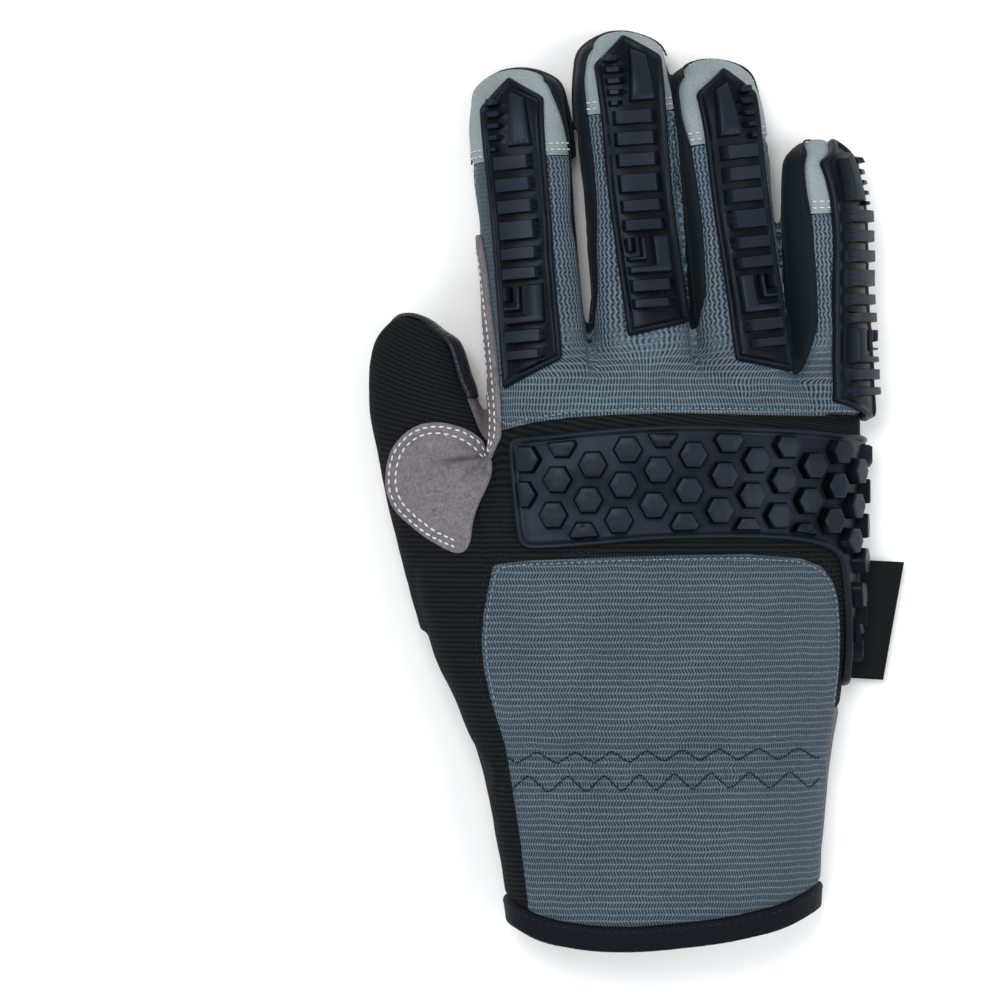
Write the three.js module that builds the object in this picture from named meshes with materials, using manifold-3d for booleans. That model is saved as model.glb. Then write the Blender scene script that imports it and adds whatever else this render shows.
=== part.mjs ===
// Impact mechanic's glove for the right hand, lying on its palm. Millimetres, +Y to the fingertips,
// +X to the little finger, +Z up from the surface that the glove lies on.
import * as THREE from 'three';
import { mergeVertices } from 'three/addons/utils/BufferGeometryUtils.js';
import Module from 'manifold-3d';

const wasm = await Module();
wasm.setup();
const { Manifold, Mesh } = wasm;

// Thicknesses and gaps
const clothThickness = 1.6;
const seamGap = 0.3;
const patchThickness = 1.1;
const rubberThickness = 1.6;
const blockHeight = 2.7;
const studHeight = 4.2;
const bindingInside = 2.0;
const bindingOutside = 0.6;
const padThickness = 1.7;
const reach = 400;

// Heights that part the back of the glove from its palm
const backFrom = 14;
const thumbSideFrom = 11;
const stripFrom = 5.2;

// The hand and cuff, a row for each section from the cuff to the finger roots
const handColumns = ['y', 'left', 'right', 'top', 'floor'];
const handSections = [
  [-140, -34.6, 51.8, 38.5, 0.8],
  [-90, -41.2, 54.6, 41.0, 1.8],
  [-77.5, -44.0, 56.0, 38.0, 2.0],
  [-67, -47.6, 58.2, 41.2, 2.0],
  [-44, -58.0, 60.8, 42.8, 2.0],
  [-20, -62.0, 62.4, 41.8, 2.0],
  [-14, -60.0, 62.4, 38.8, 2.0],
  [13, -42.8, 63.4, 37.4, 2.0],
  [31, -40.6, 64.4, 33.6, 2.2],
  [39, -39.0, 63.4, 28.0, 4.0],
  [42, -36.0, 60.6, 22.0, 8.0],
];
const handSides = { above: 9, below: 5 };
const thumbSide = { widest: 0.42, squareness: 3.3 };
const littleSide = { widest: 0.19, squareness: 2.15 };
const palmSquareness = 3.4;
const palmSag = 1.4;
const rootSlant = { fromX: 8, fromY: 24, slope: 0.26 };
const handEndRings = 3;

// Fingers: the tip and the root of each one's axis, its turn about that axis, its girth, how much of the
// swelling towards the knuckles it takes, how far back from the tip it runs, and its height over the ground
const fingers = {
  index: { tip: [-34.4, 120.4], root: [-25.6, 19.8], roll: -11, girth: 1.0, rise: 1, back: 100, floor: 1.6 },
  middle: { tip: [-4.6, 131.0], root: [3.8, 19.8], roll: 9, girth: 0.98, rise: 1, back: 108, floor: 1.6 },
  ring: { tip: [20.6, 123.2], root: [33.0, 19.8], roll: 16, girth: 0.975, rise: 0.75, back: 98, floor: 0.6 },
  little: { tip: [51.4, 100.2], root: [55.2, 19.8], roll: 58, girth: 0.875, rise: 0.15, back: 80, floor: 0.6 },
};
const axisHeight = 12.5;
const fingerColumns = ['fromTip', 'halfWidth', 'halfDepth', 'centre'];
const fingerSections = [
  [0, 7.6, 5.0, 9.6],
  [3, 11.5, 8.5, 10.5],
  [10, 13.3, 10.6, 11.8],
  [48, 13.8, 11.8, 13.2],
  [80, 14.0, 14.2, 16.6],
  [104, 14.2, 16.4, 18.8],
];
const swellFrom = 4;
const tipRings = 2;
const floorRise = 0.01;
const palmFloor = 2.0;
const fingerSides = { above: 5, below: 3 };
const fingerSquareness = 2.3;

// The thumb, whose pad faces the index finger
const thumb = { roll: -42, floor: 1.6 };
const thumbColumns = ['x', 'y', 'halfWidth', 'halfDepth', 'centre'];
const thumbSections = [
  [-60.6, 48.4, 5.0, 4.0, 13.0],
  [-61.5, 46.2, 9.0, 7.4, 13.2],
  [-62.3, 40.6, 12.2, 10.6, 13.5],
  [-61.6, 29.0, 14.4, 12.8, 14.2],
  [-57.4, 14.0, 16.4, 13.8, 15.2],
  [-50.6, -7.0, 18.6, 15.2, 16.6],
  [-41.0, -34.0, 21.0, 17.0, 19.0],
];
const thumbPad = { tipRow: 1, rootRow: 5, width: 80, length: 62, depth: 40, beyond: 15, under: 4 };
const thumbSides = { above: 5, below: 3 };

// Where the seams run, seen from above
const lanes = {
  index: [
    [-54, 126], [-50.5, 80], [-49, 56], [-46.4, 38], [-43.6, 30], [-12, 30], [-13.6, 46], [-16, 77], [-20, 122],
    [-22, 140], [-54, 140],
  ],
  middle: [
    [-22, 140], [-20, 122], [-16, 77], [-13.6, 46], [-12, 30], [17, 30], [15.2, 55], [12, 92], [9, 125], [8, 140],
  ],
  ring: [
    [8, 140], [9, 125], [12, 92], [15.2, 55], [17, 30], [45.4, 24], [43.6, 42], [41.2, 68], [39.8, 98], [38, 134],
  ],
  little: [[38, 134], [39.8, 98], [41.2, 68], [43.6, 42], [45.4, 24], [95, 24], [95, 134]],
};
const crotchWebs = {
  middle: [[-22, 36], [-5, 36], [-5, 45], [-22, 45]],
  ring: [[8, 36], [23, 36], [23, 45], [8, 45]],
  little: [[37, 26], [53, 26], [53, 37], [37, 37]],
};
const beyondTips = 150;
const underFloor = -20;
const webLow = 8;
const webHigh = 19;
const capLengths = { index: 26.5, middle: 24, ring: 25, little: 22 };
const knuckleHem = [[-38.4, 16.6], [-19.6, 20.3], [9, 21.6], [80, 20.6]];
const knuckleTop = [[80, 33], [44, 33], [40, 42], [-40, 42], [-40.6, 26]];
const wristOutline = [
  [-40.4, -20.7], [-8.5, -18.6], [31, -18], [45.6, -20.4], [53.4, -24.8], [57.0, -34], [57.8, -46], [54.8, -82],
  [52.2, -121], [53, -140], [-31.5, -140], [-31, -116], [-37.2, -72], [-42.6, -53], [-43.4, -36],
];
const stripOutline = [
  [-41, 15.6], [-19.6, 19.7], [9, 21], [80, 20], [80, -61], [55.6, -61],
  [58.4, -46], [57.6, -34], [54, -24.4], [45.8, -19.8], [31, -17.4], [-8.5, -18],
  [-40.8, -20.1], [-44.8, -8],
];
const thumbSideTop = [
  [-45.5, -8], [-41.4, -20.6], [-44.1, -36], [-43.2, -53], [-37.8, -72],
  [-31.7, -116], [-32.1, -140], [-100, -140], [-100, 80], [-47, 80], [-44.5, 30], [-41.8, 15.8],
];
const thumbSidePalm = [
  [-58.9, 12], [-46.5, -20], [-32.8, -43.6], [-18.1, -89], [-13.3, -140], [-100, -140], [-100, 12],
];
const hemCurve = [
  [-60, -121.5], [-37, -121.5], [-29.6, -127.4], [-13.3, -130.2], [0.7, -130.5], [24.3, -128.2],
  [42.2, -124.4], [54, -118.2], [75, -118.2],
];
const belowHem = [[75, -300], [-60, -300]];
const bindingWidth = 7.4;

// Patches and pads
const saddleOutline = [
  [-40.8, 9.9], [-44.2, 14.2], [-49.2, 17.5], [-55.5, 19.2], [-61.1, 18.7], [-66.2, 15.3], [-69.6, 9.9],
  [-70.3, 2], [-67.4, -6.2], [-62.5, -10.8], [-51.2, -18.1], [-47.8, -17.4], [-46.8, -9.9],
];
const indexSaddleOutline = [
  [-50, 64.5], [-43.4, 64.5], [-41.4, 50], [-39.2, 30], [-38.6, 18], [-42.2, 18], [-44, 29], [-46.8, 38], [-49, 54],
];
const indexSaddleLow = 6;
const indexSaddleHigh = 20;
const thumbPatchOutline = [[-100, 90], [-54, 90], [-50.4, 54], [-48, 38], [-45.4, 26], [-100, 22]];
const indexPatchLength = 27;
const middlePatchLength = 27;
const palmPadOutline = [
  [-29.4, 21.5], [-27.2, 30.6], [-23.6, 35.4], [-13.6, 40.2], [-12.4, 57.4], [-9.6, 62.2], [-4.8, 63.4], [0.4, 61.8],
  [3, 57.6], [4, 41.6], [11, 39.4], [14.4, 43.8], [15.6, 58.4], [18.2, 62.2], [22.4, 63.2], [26.4, 61],
  [28.2, 56.4], [28.6, 30.2], [31.6, 26.4], [30.6, 20], [26, 17.2], [-22, 16.6], [-27, 18.2],
];
const heelPad = { left: -16.4, right: 43.6, low: -64.8, high: -28.9, round: 16 };

// Knuckle guard: its outline from above, and the lattice of its studs
const guardOutline = [
  [-35.4, 12.8], [-34, 14.4], [-12.5, 17], [19.4, 18.4], [90, 15.4], [90, -55.6], [59.0, -55.6], [59.4, -45.5],
  [58.6, -28], [56.6, -18.8], [53.2, -16.4], [46.6, -14.6], [35.3, -13.6], [19.4, -13.6],
  [-28.3, -16.7], [-32.4, -15.6], [-34.2, -10.5],
];
const guardRim = 1.9;
const guardLowest = 6.4;
const studColumnPitch = 9.45;
const studRowPitch = 9.8;
const studColumns = 13;
const studRows = 4;
const studStartX = -31;
const studStartY = 8.6;
const studRowDrift = -0.13;
const studColumnDrop = -5.66;
const studTop = 3.9;
const studBase = 4.5;
const studRoot = 0.7;
const sideColumnFrom = 11;
const sideStudRows = 8;

// Finger guards: the flange's outline, and its blocks in the order that they stand from the tip
const guards = {
  index: { start: 3.6, length: 88, scale: 0.98, mirror: 1, slant: 7, shift: 0, turn: 0.6 },
  middle: { start: 2.4, length: 85.5, scale: 1.04, mirror: 1, slant: 2.8, shift: 0, turn: 0.8 },
  ring: { start: 4.2, length: 88, scale: 0.94, mirror: -1, slant: 5, shift: 0.9, turn: -0.6 },
  little: { start: 1.0, length: 80, scale: 0.98, mirror: -1, slant: 5.4, shift: 0.6, turn: -3.6 },
};
const guardHalfWidth = 9.0;
const guardApex = -0.4;
const guardShoulder = { back: 6.6, drop: 1.4 };
const guardWaist = { share: 0.6, narrowing: 0.92 };
const blockRoot = 1.4;
const blockColumns = ['from', 'to', 'left', 'right'];
const blocks = [
  [6.0, 13.0, -6.7, -1.9],
  [14.8, 20.9, -6.6, -2.8],
  [22.2, 26.4, -5.8, 5.2],
  [28.4, 32.6, -5.8, 5.2],
  [34.6, 38.8, -5.8, 5.2],
  [40.7, 46.4, -5.8, 5.2],
  [48.4, 52.2, -5.8, 5.2],
  [54.2, 57.8, -5.8, 5.2],
  [59.6, 66.5, -5.8, -0.8],
  [59.2, 70.3, 0.9, 5.2],
  [71.9, 75.7, -5.8, 5.4],
];
const blocksLength = 88;
const wedge = [[0.3, 4.6], [4.2, 6.6], [5.4, 19.9], [-1.3, 19.9]];

const label = {
  left: 58.1, right: 75.4, top: -19.8, bottom: -53.4, lean: -2.7, flare: 1.5, thickness: 1.2, height: 3.6,
};

function record(columns, row) {
  return Object.fromEntries(columns.map((column, i) => [column, row[i]]));
}

function toSolid(geometry) {
  geometry.deleteAttribute('normal');
  geometry.deleteAttribute('uv');
  const merged = mergeVertices(geometry, 1e-4);
  return new Manifold(new Mesh({
    numProp: 3,
    vertProperties: new Float32Array(merged.attributes.position.array),
    triVerts: new Uint32Array(merged.index.array),
  }));
}

function toGeometry(solid) {
  const mesh = solid.getMesh();
  const geometry = new THREE.BufferGeometry();
  geometry.setAttribute('position', new THREE.BufferAttribute(new Float32Array(mesh.vertProperties), 3));
  geometry.setIndex(new THREE.BufferAttribute(new Uint32Array(mesh.triVerts), 1));
  return geometry;
}

// A closed skin through rings of points that turn anticlockwise seen from the last ring's side
function loft(rings) {
  const sides = rings[0].length;
  const centres = [rings[0], rings[rings.length - 1]].map((ring) => (
    ring.reduce((sum, point) => sum.add(point), new THREE.Vector3()).divideScalar(sides)
  ));
  const points = [...rings.flat(), ...centres];
  const first = points.length - 2;
  const last = points.length - 1;
  const faces = [];
  for (let side = 0; side < sides; side += 1) {
    const next = (side + 1) % sides;
    faces.push(first, next, side);
    for (let row = 0; row + 1 < rings.length; row += 1) {
      const low = row * sides;
      const high = low + sides;
      faces.push(low + side, low + next, high + next);
      faces.push(low + side, high + next, high + side);
    }
    const top = (rings.length - 1) * sides;
    faces.push(last, top + side, top + next);
  }
  const geometry = new THREE.BufferGeometry().setFromPoints(points);
  geometry.setIndex(faces);
  return toSolid(geometry);
}

// Angles once round a section, in equal steps over its back and in fewer under its palm
function anglesRound({ above, below }) {
  const over = Array.from({ length: above }, (_, i) => (Math.PI * i) / above);
  const under = Array.from({ length: below }, (_, i) => Math.PI + (Math.PI * i) / below);
  return [...over, ...under];
}

// The cosine of a superellipse: a squareness of 2 is a circle, and more is squarer
function curved(angle, squareness) {
  const cosine = Math.cos(angle);
  return Math.sign(cosine) * Math.abs(cosine) ** (2 / squareness);
}

// One round of points about a hand section, let out by the given distance
function handRing(section, out) {
  const middle = (section.left + section.right) / 2;
  const half = (section.right - section.left) / 2 + out;
  const isEnd = section.y >= handSections[handSections.length - handEndRings][0];
  const y = section.y + (isEnd ? out : 0);
  return anglesRound(handSides).map((angle) => {
    const side = Math.cos(angle) < 0 ? thumbSide : littleSide;
    const widest = section.floor + (section.top - section.floor) * side.widest;
    const above = section.top + out - widest;
    const below = widest - section.floor + out + palmSag;
    const upright = Math.sin(angle) > 0 ? side.squareness : palmSquareness;
    const x = middle + half * curved(angle, upright);
    const rise = curved(angle - Math.PI / 2, upright);
    const z = Math.max(widest + rise * (rise > 0 ? above : below), section.floor - out);
    const slant = section.y > rootSlant.fromY ? rootSlant.slope * Math.max(0, x - rootSlant.fromX) : 0;
    return new THREE.Vector3(x, y - slant, z);
  });
}

function handSolid(out) {
  const rings = handSections.map((row) => handRing(record(handColumns, row), out));
  return loft(rings.map((ring) => ring.reverse()));
}

// An axis frame that lies level: across, along towards the tip, and up out of the nail side
function axisFrame(tip, root, roll) {
  const along = new THREE.Vector3(tip[0] - root[0], tip[1] - root[1], 0).normalize();
  const level = new THREE.Vector3(along.y, -along.x, 0);
  const turn = THREE.MathUtils.degToRad(roll);
  const up = new THREE.Vector3(0, 0, Math.cos(turn)).addScaledVector(level, Math.sin(turn));
  const across = new THREE.Vector3().crossVectors(along, up);
  return { along, across, up };
}

function rolledRing(centre, frame, halfWidth, halfDepth, sides, floor) {
  return anglesRound(sides).map((angle) => {
    const point = centre.clone();
    point.addScaledVector(frame.across, halfWidth * curved(angle, fingerSquareness));
    point.addScaledVector(frame.up, halfDepth * curved(angle - Math.PI / 2, fingerSquareness));
    point.z = Math.max(point.z, floor);
    return point;
  });
}

function fingerFrame(name) {
  const finger = fingers[name];
  return axisFrame(finger.tip, finger.root, finger.roll);
}

// A finger's own sections: the part of it that swells towards the knuckles is fitted to its length and rise
function sectionsOf(name) {
  const finger = fingers[name];
  const sections = fingerSections.map((row) => record(fingerColumns, row));
  const straight = sections[swellFrom - 1];
  const last = sections[sections.length - 1];
  const stretch = (finger.back - straight.fromTip) / (last.fromTip - straight.fromTip);
  const fit = (section, column, share) => straight[column] + share * (section[column] - straight[column]);
  return sections.map((section, index) => (index < swellFrom ? section : {
    fromTip: fit(section, 'fromTip', stretch),
    halfWidth: section.halfWidth,
    halfDepth: fit(section, 'halfDepth', finger.rise),
    centre: fit(section, 'centre', finger.rise),
  }));
}

function fingerSolid(name, out) {
  const finger = fingers[name];
  const frame = fingerFrame(name);
  const rings = sectionsOf(name).map((section, index) => {
    const beyondTip = index < tipRings ? out : 0;
    const centre = new THREE.Vector3(finger.tip[0], finger.tip[1], section.centre);
    centre.addScaledVector(frame.along, beyondTip - section.fromTip);
    const width = section.halfWidth * finger.girth + out;
    const floor = Math.min(finger.floor + section.fromTip * floorRise, palmFloor) - out;
    return rolledRing(centre, frame, width, section.halfDepth * finger.girth + out, fingerSides, floor);
  });
  return loft(rings);
}

function thumbSolid(out) {
  const sections = thumbSections.map((row) => record(thumbColumns, row));
  const rings = sections.map((section, index) => {
    const before = sections[Math.max(index - 1, 0)];
    const after = sections[Math.min(index + 1, sections.length - 1)];
    const frame = axisFrame([before.x, before.y], [after.x, after.y], thumb.roll * (1 - index / sections.length));
    const beyondTip = index < tipRings ? out : 0;
    const centre = new THREE.Vector3(section.x, section.y, section.centre);
    centre.addScaledVector(frame.along, beyondTip);
    const depth = section.halfDepth + out;
    return rolledRing(centre, frame, section.halfWidth + out, depth, thumbSides, thumb.floor - out);
  });
  return loft(rings);
}

function gloveSolid(out) {
  return Object.keys(fingers).reduce(
    (glove, name) => glove.add(fingerSolid(name, out)),
    handSolid(out).add(thumbSolid(out)),
  );
}

const solids = new Map();
function grownGlove(out) {
  if (!solids.has(out)) solids.set(out, gloveSolid(out));
  return solids.get(out);
}

function layer(inner, outer) {
  return grownGlove(outer).subtract(grownGlove(inner));
}

// An outline let out by a distance, each corner moved along the mean of its two edges' normals
function letOut(outline, distance) {
  const area = outline.reduce((sum, [x, y], i) => {
    const [nextX, nextY] = outline[(i + 1) % outline.length];
    return sum + x * nextY - nextX * y;
  }, 0);
  return outline.map(([x, y], i) => {
    const [lastX, lastY] = outline[(i + outline.length - 1) % outline.length];
    const [nextX, nextY] = outline[(i + 1) % outline.length];
    const before = new THREE.Vector2(y - lastY, lastX - x).normalize();
    const after = new THREE.Vector2(nextY - y, x - nextX).normalize();
    const normal = before.clone().add(after).multiplyScalar(Math.sign(area));
    normal.divideScalar(Math.max(1 + before.dot(after), 0.5));
    return [x + normal.x * distance, y + normal.y * distance];
  });
}

function prism(outline, low, high, grow = 0) {
  const shape = new THREE.Shape(letOut(outline, grow).map(([x, y]) => new THREE.Vector2(x, y)));
  const geometry = new THREE.ExtrudeGeometry(shape, { depth: high - low + 2 * grow, bevelEnabled: false });
  geometry.translate(0, 0, low - grow);
  return toSolid(geometry);
}

// A block in a finger's own frame: across, distance back from the tip, and height over the axis
function fingerBlock(name, outline, low, high) {
  const finger = fingers[name];
  const frame = fingerFrame(name);
  const shape = new THREE.Shape(outline.map(([across, back]) => new THREE.Vector2(across, -back)));
  const geometry = new THREE.ExtrudeGeometry(shape, { depth: high - low, bevelEnabled: false });
  geometry.translate(0, 0, low);
  const place = new THREE.Matrix4().makeBasis(frame.across, frame.along, frame.up);
  place.setPosition(finger.tip[0], finger.tip[1], axisHeight);
  geometry.applyMatrix4(place);
  return toSolid(geometry);
}

function rectangle(left, right, from, to) {
  return [[left, from], [right, from], [right, to], [left, to]];
}

function fingerSlab(name, from, to, low, high, grow) {
  const outline = rectangle(-reach, reach, from - grow, to + grow);
  return fingerBlock(name, outline, low - grow, high + grow).intersect(prism(lanes[name], underFloor, reach, grow));
}

// The cuff's end and its binding
const hemShift = (distance) => hemCurve.map(([x, y]) => [x, y + distance]);
const beyondHem = (distance) => prism([...hemShift(distance), ...belowHem], -reach, reach);
const cloth = layer(-clothThickness, 0).subtract(beyondHem(bindingWidth + seamGap));

const nailSide = 1.5;
const padSide = -5.0;
const rootLength = 94;
const regions = {
  wristKnit: (grow) => prism(wristOutline, thumbSideFrom, reach, grow),
  strip: (grow) => prism(stripOutline, stripFrom, reach, grow),
  thumbSide: (grow) => prism(thumbSideTop, thumbSideFrom, reach, grow)
    .add(prism(thumbSidePalm, -reach, thumbSideFrom + 2 * seamGap, grow))
    .subtract(thumbPadSide(-grow)),
  knuckles: (grow) => Object.keys(fingers).reduce(
    (area, name) => area.add(fingerSlab(name, capLengths[name] + seamGap, rootLength, nailSide, reach, grow)),
    prism([...knuckleHem, ...knuckleTop], backFrom, reach, grow),
  ),
  cap: (name) => (grow) => fingerSlab(name, underFloor, capLengths[name], nailSide, reach, grow),
  between: (left, right) => (grow) => {
    const leftSide = prism(betweenAxes(left, right), underFloor, reach, grow);
    const sides = fingerSlab(left, underFloor, rootLength, padSide, nailSide, grow)
      .add(fingerSlab(right, underFloor, rootLength, padSide, nailSide, grow))
      .add(prism(crotchWebs[right], webLow, webHigh, grow));
    return leftSide.intersect(sides);
  },
};

// The strip of ground between two neighbours' axes, from beyond the tips to just behind the crotch
function betweenAxes(left, right) {
  const [a, b] = [fingers[left], fingers[right]];
  const low = crotchWebs[right][0][1];
  const at = (finger, y) => {
    const share = (y - finger.root[1]) / (finger.tip[1] - finger.root[1]);
    return [finger.root[0] + share * (finger.tip[0] - finger.root[0]), y];
  };
  return [at(a, low), at(b, low), at(b, beyondTips), at(a, beyondTips)];
}

// The half of the thumb that faces the index finger and the palm
function thumbPadSide(grow) {
  const tip = record(thumbColumns, thumbSections[thumbPad.tipRow]);
  const root = record(thumbColumns, thumbSections[thumbPad.rootRow]);
  const frame = axisFrame([tip.x, tip.y], [root.x, root.y], thumb.roll);
  const { width, length, depth, beyond, under } = thumbPad;
  const geometry = new THREE.BoxGeometry(width, length, depth);
  geometry.translate(0, beyond - length / 2, grow - under - depth / 2);
  const place = new THREE.Matrix4().makeBasis(frame.across, frame.along, frame.up);
  place.setPosition(tip.x, tip.y, tip.centre);
  geometry.applyMatrix4(place);
  return toSolid(geometry);
}

const glove = new THREE.Group();

function finish(color, roughness) {
  return new THREE.MeshStandardMaterial({ color, roughness, metalness: 0 });
}

const materials = {
  knit: finish(0x5b7485, 0.85),
  suede: finish(0x807a7e, 0.95),
  patch: finish(0x96928f, 0.95),
  rib: finish(0x212526, 0.9),
  stretch: finish(0x2d3a42, 0.7),
  cap: finish(0x7f8c8c, 0.6),
  leather: finish(0x26303a, 0.5),
  rubber: finish(0x343a42, 0.45),
  binding: finish(0x181d28, 0.8),
  label: finish(0x1c1e21, 0.7),
};

// Of a cut solid, only the body that the name stands for is kept, not the slivers beside it
function add(name, solid, material) {
  const bodies = solid.decompose();
  const largest = bodies.reduce((best, body) => (body.volume() > best.volume() ? body : best));
  const mesh = new THREE.Mesh(toGeometry(largest), material);
  mesh.name = name;
  glove.add(mesh);
}

const claimed = [];
function panel(name, region, material) {
  let solid = cloth.intersect(region(0));
  claimed.forEach((earlier) => {
    solid = solid.subtract(earlier);
  });
  claimed.push(region(seamGap));
  add(name, solid, material);
}

panel('wrist_knit', regions.wristKnit, materials.knit);
panel('knuckle_strip', regions.strip, materials.rib);
panel('knuckle_knit', regions.knuckles, materials.knit);
Object.keys(fingers).forEach((name) => panel(`cap_${name}`, regions.cap(name), materials.cap));
panel('fourchette_index_middle', regions.between('index', 'middle'), materials.stretch);
panel('fourchette_middle_ring', regions.between('middle', 'ring'), materials.stretch);
panel('fourchette_ring_little', regions.between('ring', 'little'), materials.stretch);
panel('side_knit', regions.thumbSide, materials.rib);
add('palm_suede', claimed.reduce((rest, earlier) => rest.subtract(earlier), cloth), materials.suede);

const binding = layer(-bindingInside, bindingOutside)
  .subtract(beyondHem(0))
  .intersect(beyondHem(bindingWidth));
add('cuff_binding', binding, materials.binding);

// Patches sewn on over the cloth
const overCloth = layer(seamGap, seamGap + patchThickness);
add('thumb_saddle', overCloth.intersect(prism(saddleOutline, thumbSideFrom, reach)), materials.patch);
add('index_saddle', overCloth.intersect(prism(indexSaddleOutline, indexSaddleLow, indexSaddleHigh)), materials.patch);
const tipBlock = (name, length) => fingerSlab(name, underFloor, length, -reach, padSide, 0);
add('index_tip_patch', overCloth.intersect(tipBlock('index', indexPatchLength)), materials.leather);
add('middle_tip_patch', overCloth.intersect(tipBlock('middle', middlePatchLength)), materials.leather);

const thumbTip = thumbPadSide(0).intersect(prism(thumbPatchOutline, underFloor, reach));
add('thumb_patch', overCloth.intersect(thumbTip), materials.leather);

function roundedRectangle({ left, right, low, high, round }) {
  const shape = new THREE.Shape();
  shape.moveTo(left + round, low);
  shape.lineTo(right - round, low);
  shape.absarc(right - round, low + round, round, -Math.PI / 2, 0);
  shape.absarc(right - round, high - round, round, 0, Math.PI / 2);
  shape.absarc(left + round, high - round, round, Math.PI / 2, Math.PI);
  shape.absarc(left + round, low + round, round, Math.PI, 1.5 * Math.PI);
  return shape.getPoints(2).map((point) => [point.x, point.y]);
}
add('palm_pad', prism(palmPadOutline, 0, padThickness), materials.leather);
add('heel_pad', prism(roundedRectangle(heelPad), 0, padThickness), materials.leather);

// Finger guards
const flangeLayer = layer(seamGap, seamGap + rubberThickness);

// How high the nail side stands over the finger's axis, at a distance back from the tip
function nailHeight(name, back) {
  const sections = sectionsOf(name);
  const next = Math.max(1, sections.findIndex((section) => section.fromTip >= back));
  const [near, far] = [sections[next - 1], sections[next]];
  const share = (back - near.fromTip) / (far.fromTip - near.fromTip);
  const depth = near.halfDepth + share * (far.halfDepth - near.halfDepth);
  const centre = near.centre + share * (far.centre - near.centre);
  const { up } = fingerFrame(name);
  return depth * fingers[name].girth + (centre - axisHeight) * up.z;
}

function fingerGuard(name) {
  const guard = guards[name];
  const place = ([across, back]) => [
    across * guard.scale * guard.mirror + guard.shift + guard.turn * back / guard.length, back + guard.start,
  ];
  const stretched = ([across, back]) => [across, back * guard.length / blocksLength];
  const half = guardHalfWidth;
  const waist = [half * guardWaist.narrowing, guard.length * guardWaist.share];
  const outline = [
    [guardApex, 0], [half, guardShoulder.back], waist, [half, guard.length - guard.slant],
    [-half, guard.length], [-waist[0], waist[1]], [-half, guardShoulder.back + guardShoulder.drop],
  ];
  const flange = fingerBlock(name, outline.map(place), 0, reach).intersect(flangeLayer);
  const raised = [wedge, ...blocks.map((row) => {
    const block = record(blockColumns, row);
    return rectangle(block.left, block.right, block.from, block.to);
  })].map((shape) => shape.map(stretched));
  return raised.reduce((solid, shape) => {
    const middle = shape.reduce((sum, corner) => sum + corner[1], 0) / shape.length;
    const surface = nailHeight(name, middle + guard.start) + seamGap + rubberThickness;
    return solid.add(fingerBlock(name, shape.map(place), surface - blockRoot, surface + blockHeight));
  }, flange);
}
Object.keys(guards).forEach((name) => add(`guard_${name}`, fingerGuard(name), materials.rubber));

// The hand's back at y, as points that run from the thumb side over the top to the little finger's side
function backLine(y, out) {
  const sections = handSections.map((row) => record(handColumns, row));
  const next = Math.max(1, sections.findIndex((section) => section.y >= y));
  const [low, high] = [sections[next - 1], sections[next]];
  const share = (y - low.y) / (high.y - low.y);
  const between = record(handColumns, handColumns.map((column) => (
    low[column] + share * (high[column] - low[column])
  )));
  return handRing(between, out).slice(0, handSides.above + 1).reverse();
}

// A point on the back, found by walking the given length along the line from x = 0, and its normal
function onBack(length, y, out) {
  const line = backLine(y, out);
  const start = line.findIndex((point) => point.x > 0) - 1;
  let left = length + line[start].distanceTo(line[start + 1]) * (0 - line[start].x)
    / (line[start + 1].x - line[start].x);
  let at = start;
  while (left < 0 && at > 0) {
    at -= 1;
    left += line[at].distanceTo(line[at + 1]);
  }
  while (at + 2 < line.length && left > line[at].distanceTo(line[at + 1])) {
    left -= line[at].distanceTo(line[at + 1]);
    at += 1;
  }
  const step = line[at + 1].clone().sub(line[at]).normalize();
  const point = line[at].clone().addScaledVector(step, left);
  point.y = y;
  return { point, across: step, normal: new THREE.Vector3(-step.z, 0, step.x) };
}

function stud(length, y) {
  const { point, across, normal } = onBack(length, y, seamGap);
  const geometry = new THREE.CylinderGeometry(studTop, studBase, studHeight - studRoot, 6);
  geometry.rotateY(Math.PI / 6);
  geometry.rotateX(Math.PI / 2);
  geometry.translate(0, 0, (studHeight + studRoot) / 2);
  const along = new THREE.Vector3().crossVectors(normal, across);
  const place = new THREE.Matrix4().makeBasis(across, along, normal);
  place.setPosition(point);
  geometry.applyMatrix4(place);
  return toSolid(geometry);
}

function knuckleGuard() {
  const flange = flangeLayer.intersect(prism(guardOutline, guardLowest, reach));
  const field = prism(guardOutline, guardLowest, reach, -guardRim);
  let studs = flange;
  for (let column = 0; column < studColumns; column += 1) {
    const rows = column < sideColumnFrom ? studRows : sideStudRows;
    for (let row = 0; row < rows; row += 1) {
      const y = studStartY + studRowPitch - row * studRowPitch + (column * studColumnDrop) % studRowPitch;
      const length = studStartX + column * studColumnPitch + row * studRowPitch * studRowDrift;
      studs = studs.add(stud(length, y).intersect(field));
    }
  }
  return studs;
}
add('knuckle_guard', knuckleGuard(), materials.rubber);

// The flag label stands out of the little finger's side seam
function flagLabel() {
  const { left, right, top, bottom, lean, flare, thickness, height } = label;
  const outline = [
    [left, top], [right, top - flare], [right + lean - flare, bottom], [left + lean, bottom + flare],
  ];
  return prism(outline, height, height + thickness);
}
add('side_label', flagLabel(), materials.label);

export default glove;
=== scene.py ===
import math

import bpy
import numpy as np
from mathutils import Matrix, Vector, noise
from mathutils.bvhtree import BVHTree
from mathutils.geometry import delaunay_2d_cdt


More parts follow.
